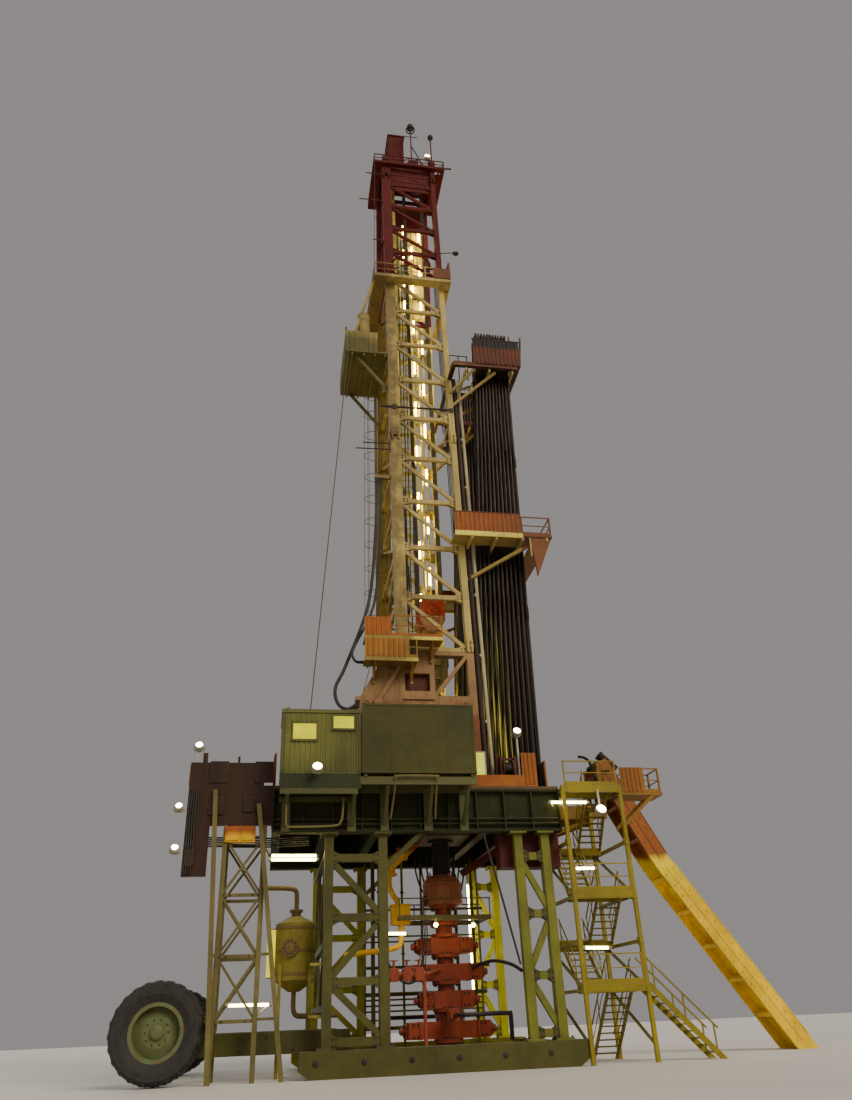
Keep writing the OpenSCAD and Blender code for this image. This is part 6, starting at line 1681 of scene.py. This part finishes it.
def make_lamps(sizes):
    lens, body = Shape(), Shape()
    way = Vector((0, -sin(radians(60)), cos(radians(60))))
    for x, y, z, big in LAMPS:
        face = Vector((x, y, z)) + way * 0.1
        r = 0.085 * big
        lens.lathe(face - way * 0.004, way,
                   [(r * 0.94, 0), (r * 0.9, r * 0.22), (r * 0.7, r * 0.45), (r * 0.35, r * 0.6)], 24)
        body.ring(face - way * 0.02, way, r * 1.12, r * 0.94, 0.03, 24)
        for k in range(4):
            body.ring(Vector((x, y, z)) + way * (0.012 + 0.018 * k), way, 0.096, 0.084, 0.007, 24)
        body.lathe(Vector((x, y, z)) - way * 0.03, way, [(0.04, 0), (0.07, 0.031)], 16)
        body.bent([(x - 0.1, y - 0.03, z + 0.03), (x - 0.1, y + 0.04, z - 0.03), (x, y + 0.06, z - 0.06),
                   (x + 0.1, y + 0.04, z - 0.03), (x + 0.1, y - 0.03, z + 0.03)], 0.02, 6)
    piece("flood_lenses", lens, "lamp_lens")
    piece("flood_bezels", body, "lamp_housing")

    glow, case = Shape(), Shape()
    for a, b, foot in TUBES:
        glow.rod(a, b, 0.05, 12)
        a, b = Vector(a), Vector(b)
        along = (b - a).normalized()
        for end, out in ((a, -along), (b, along)):
            case.rod(end - out * 0.03, end + out * 0.03, 0.07, 12)
        case.bar(a + Vector((0, 0.03, 0.035)), b + Vector((0, 0.03, 0.035)), 0.05, 0.024)
        near = min((a, b), key=lambda p: (p - Vector(foot)).length)
        case.rod(near + Vector((0, 0.03, 0.035)), foot, 0.03, 8)
    lit = Shape()
    for x, z in MAST_LAMPS:
        low, high = (x, mast_y(z - 0.32) - 0.24, z - 0.32), (x, mast_y(z + 0.32) - 0.24, z + 0.32)
        lit.rod(low, high, 0.055, 12)
        for end, out in ((low, -0.03), (high, 0.03)):
            case.post(end[0], end[1], end[2] - 0.03, end[2] + 0.03, 0.075, 12)
            case.rod((end[0], end[1], end[2] + out), (end[0], end[1] + 0.24, end[2] + out), 0.03, 8)
        case.bar((x, low[1] + 0.045, low[2]), (x, high[1] + 0.045, high[2]), 0.08, 0.02)
    panels = Shape()
    # The first sheet glows beside the tank's left edge: a painted reflection on the tank's side, not a lamp.
    panels.box(-3.975, -3.805, -1.425, -1.415, 1.76, 2.64)
    panels.box(0.4, 0.62, -2.462, -2.452, 5.5, 6.1)
    case.box(0.36, 0.66, -2.45, -2.3, 5.42, 6.14)
    piece("lit_panels", panels, "lit_panel")
    bulbs = Shape()
    for x, y, z in ((-0.3, -0.66, 2.74), (0.55, -0.66, 2.72)):
        bulbs.lathe((x, y, z - 0.05), UP, [(0.02, 0.0), (0.045, 0.02), (0.05, 0.05), (0.03, 0.085)], 16)
        case.rod((x, y, z + 0.03), (x, y + 0.03, z + 0.13), 0.05, 12)
    bulbs.post(1.05, 1.98, 1.5, 3.9, 0.05, 10)
    case.bar((1.05, 2.01, 1.4), (1.05, 2.01, 4.42), 0.06, 0.03)
    piece("cellar_bulbs", bulbs, "tube_glow")
    piece("tube_lamp_cases", case, "lamp_housing", chamfer=0.003)
    piece("tube_lamps", glow, "tube_glow")
    piece("mast_lamps", lit, "mast_glow")


def make_stage(sizes):
    """Plain pale floor, soft light from the front and a pale room."""
    points = [(x, y, 0) for x, y in ((-60, -60), (60, -60), (60, 60), (-60, 60))]
    mesh = bpy.data.meshes.new("studio_floor")
    mesh.from_pydata(points, [], [(0, 1, 2, 3)])
    floor = shown("studio_floor", mesh)
    graph = new_material("studio_floor")
    place = graph.place()
    tone = graph.ramp(graph.noise(place, 0.4, 2), 0.3, 0.7, 0.97, 1.03)
    shader(graph, graph.brighter(rgb(206, 200, 190) + (1,), tone), 0.85)
    mesh.materials.append(FINISHES["studio_floor"])
    world = bpy.data.worlds.new("studio")
    bpy.context.scene.world = world
    world.use_nodes = True
    world.node_tree.nodes.clear()
    graph = Graph(world.node_tree)
    back = graph.add("ShaderNodeBackground",
                     {"Color": rgb(172, 168, 166) + (1,), "Strength": sizes.room_light})
    graph.add("ShaderNodeOutputWorld", {"Surface": back.outputs[0]})
    for name, aim, share, spread, colour in (("key_light", (-0.45, 0.75, -0.62), 1, 35, (1, 0.93, 0.8)),
                                             ("fill_light", (0.8, 0.55, -0.3), 0.35, 60, (0.95, 0.97, 1)),
                                             ("back_light", (0.2, -0.9, -0.5), 0.3, 50, (1, 1, 1))):
        lamp = bpy.data.lights.new(name, "SUN")
        lamp.energy, lamp.angle, lamp.color = sizes.key_light * share, radians(spread), colour
        shown(name, lamp).rotation_euler = Vector(aim).to_track_quat("-Z", "Y").to_euler()


# The add-on: sizes and colours, one operator for each group of pieces, and a panel.

def colour_setting(label, note, default):
    return bpy.props.FloatVectorProperty(name=label, description=note, subtype="COLOR", size=3, min=0,
                                         max=1, default=default)


def length_setting(label, note, default):
    return bpy.props.FloatProperty(name=label, description=note, default=default, min=0.001, unit="LENGTH")


class RigSizes(bpy.types.PropertyGroup):
    girder_green: colour_setting("Girder green", "Paint of the girders under the floor", rgb(40, 43, 9))
    frame_green: colour_setting("Frame green", "Paint of columns and braces", rgb(72, 70, 26))
    doghouse_green: colour_setting("Doghouse green", "Paint of the ribbed cabin", rgb(98, 98, 44))
    cabin_green: colour_setting("Cabin green", "Paint of the plain cabin", rgb(64, 62, 17))
    mast_cream: colour_setting("Mast cream", "Paint of the mast", rgb(172, 150, 86))
    crown_red: colour_setting("Crown red", "Paint of the mast's top", rgb(84, 14, 6))
    wall_orange: colour_setting("Wall orange", "Paint of the wind walls", rgb(148, 82, 20))
    slide_yellow: colour_setting("Slide yellow", "Paint of the pipe slide", rgb(240, 194, 0))
    preventer_red: colour_setting("Preventer red", "Paint of the preventer stack", rgb(150, 62, 34))
    long_hose: length_setting("Long hose", "Diameter of the long hose", 0.08)
    short_hose: length_setting("Short hose", "Diameter of the short hose", 0.06)
    rib_pitch: length_setting("Rib pitch", "Distance between ribs of a wall", 0.1)
    bolt_size: length_setting("Bolt size", "Width of a bolt's head", 0.034)
    lamp_strength: bpy.props.FloatProperty(name="Lamp strength", description="Brightness of the lit lenses",
                                           default=30.0, min=0)
    key_light: bpy.props.FloatProperty(name="Key light", description="Strength of the studio's main light",
                                       default=2.4, min=0)
    room_light: bpy.props.FloatProperty(name="Room light",
                                        description="Brightness of the studio's pale room",
                                        default=0.68, min=0)


def view_and_nodes(sizes):
    place_camera()
    make_finishes(sizes)
    dress_nodes()


class RIG_OT_finishes(bpy.types.Operator):
    """Places the camera and paints every node of the model"""
    bl_idname, bl_label = "rig.finishes", "Camera and finishes"

    def execute(self, context):
        view_and_nodes(context.scene.rig_sizes)
        return {"FINISHED"}


class RIG_OT_hoses(bpy.types.Operator):
    """The two hoses that hang beside the mast"""
    bl_idname, bl_label = "rig.hoses", "Hoses"

    def execute(self, context):
        make_hoses(context.scene.rig_sizes)
        return {"FINISHED"}


class RIG_OT_lines(bpy.types.Operator):
    """Wire rope between the crown and the block"""
    bl_idname, bl_label = "rig.lines", "Drilling lines"

    def execute(self, context):
        make_drilling_lines(context.scene.rig_sizes)
        return {"FINISHED"}


class RIG_OT_stage(bpy.types.Operator):
    """Plain floor, pale room and soft light"""
    bl_idname, bl_label = "rig.stage", "Stage"

    def execute(self, context):
        make_stage(context.scene.rig_sizes)
        return {"FINISHED"}


class RIG_OT_cabins(bpy.types.Operator):
    """Ribs, windows and trim of the two cabins"""
    bl_idname, bl_label = "rig.cabins", "Cabins"

    def execute(self, context):
        make_cabins(context.scene.rig_sizes)
        return {"FINISHED"}


class RIG_OT_mast(bpy.types.Operator):
    """Gussets, splices, ladder and cables of the mast"""
    bl_idname, bl_label = "rig.mast", "Mast fittings"

    def execute(self, context):
        make_mast_fittings(context.scene.rig_sizes)
        return {"FINISHED"}


class RIG_OT_crown(bpy.types.Operator):
    """Guards, lid and beacons at the top"""
    bl_idname, bl_label = "rig.crown", "Crown"

    def execute(self, context):
        make_crown(context.scene.rig_sizes)
        return {"FINISHED"}


class RIG_OT_platforms(bpy.types.Operator):
    """Wall ribs, caps and joists of the platforms"""
    bl_idname, bl_label = "rig.platforms", "Platforms"

    def execute(self, context):
        make_platforms(context.scene.rig_sizes)
        return {"FINISHED"}


class RIG_OT_racked_pipe(bpy.types.Operator):
    """Joints of the racked stands"""
    bl_idname, bl_label = "rig.racked_pipe", "Racked pipe"

    def execute(self, context):
        make_racked_pipe(context.scene.rig_sizes)
        return {"FINISHED"}


class RIG_OT_hoisting(bpy.types.Operator):
    """Fittings that travel with the block"""
    bl_idname, bl_label = "rig.hoisting", "Block and top drive"

    def execute(self, context):
        make_hoisting(context.scene.rig_sizes)
        return {"FINISHED"}


class RIG_OT_winches(bpy.types.Operator):
    """Rope, guards and bolts of the winches"""
    bl_idname, bl_label = "rig.winches", "Winches"

    def execute(self, context):
        make_winches(context.scene.rig_sizes)
        return {"FINISHED"}


class RIG_OT_preventer(bpy.types.Operator):
    """Studs, valves and lines of the stack"""
    bl_idname, bl_label = "rig.preventer", "Preventer stack"

    def execute(self, context):
        make_preventer(context.scene.rig_sizes)
        return {"FINISHED"}


class RIG_OT_substructure(bpy.types.Operator):
    """Gussets, bolts and pipes under the floor"""
    bl_idname, bl_label = "rig.substructure", "Substructure"

    def execute(self, context):
        make_substructure(context.scene.rig_sizes)
        return {"FINISHED"}


class RIG_OT_wheels(bpy.types.Operator):
    """Tread, rims and bolts of the wheels"""
    bl_idname, bl_label = "rig.wheels", "Wheels"

    def execute(self, context):
        make_wheels(context.scene.rig_sizes)
        return {"FINISHED"}


class RIG_OT_rear_side(bpy.types.Operator):
    """Tank fittings, boxes and cables at the rear"""
    bl_idname, bl_label = "rig.rear_side", "Rear side"

    def execute(self, context):
        make_rear_side(context.scene.rig_sizes)
        return {"FINISHED"}


class RIG_OT_stairs(bpy.types.Operator):
    """Handrails, nosings and plates of the stairs"""
    bl_idname, bl_label = "rig.stairs", "Stairs"

    def execute(self, context):
        make_stairs(context.scene.rig_sizes)
        return {"FINISHED"}


class RIG_OT_slide(bpy.types.Operator):
    """Runners, bolts and head of the slide"""
    bl_idname, bl_label = "rig.slide", "Pipe slide"

    def execute(self, context):
        make_slide(context.scene.rig_sizes)
        return {"FINISHED"}


class RIG_OT_lamps(bpy.types.Operator):
    """Floodlights and tube lamps"""
    bl_idname, bl_label = "rig.lamps", "Lamps"

    def execute(self, context):
        make_lamps(context.scene.rig_sizes)
        return {"FINISHED"}


OPERATORS = [RIG_OT_finishes, RIG_OT_hoses, RIG_OT_lines, RIG_OT_stage, RIG_OT_cabins, RIG_OT_mast,
             RIG_OT_crown, RIG_OT_platforms, RIG_OT_racked_pipe, RIG_OT_hoisting, RIG_OT_winches,
             RIG_OT_preventer, RIG_OT_substructure, RIG_OT_wheels, RIG_OT_rear_side, RIG_OT_stairs,
             RIG_OT_slide, RIG_OT_lamps]


class RIG_PT_panel(bpy.types.Panel):
    """Sizes, colours and pieces of the rig."""
    bl_idname = "RIG_PT_panel"
    bl_label = "Drilling rig"
    bl_space_type = "VIEW_3D"
    bl_region_type = "UI"
    bl_category = "Rig"

    def draw(self, context):
        for name in RigSizes.__annotations__:
            self.layout.prop(context.scene.rig_sizes, name)
        for made in OPERATORS:
            self.layout.operator(made.bl_idname)


CLASSES = [RigSizes] + OPERATORS + [RIG_PT_panel]


def register():
    for made in CLASSES:
        bpy.utils.register_class(made)
    bpy.types.Scene.rig_sizes = bpy.props.PointerProperty(type=RigSizes)


def unregister():
    del bpy.types.Scene.rig_sizes
    for made in reversed(CLASSES):
        bpy.utils.unregister_class(made)


def main():
    register()
    for made in OPERATORS:
        area, name = made.bl_idname.split(".")
        getattr(getattr(bpy.ops, area), name)()


if __name__ == "__main__":
    main()
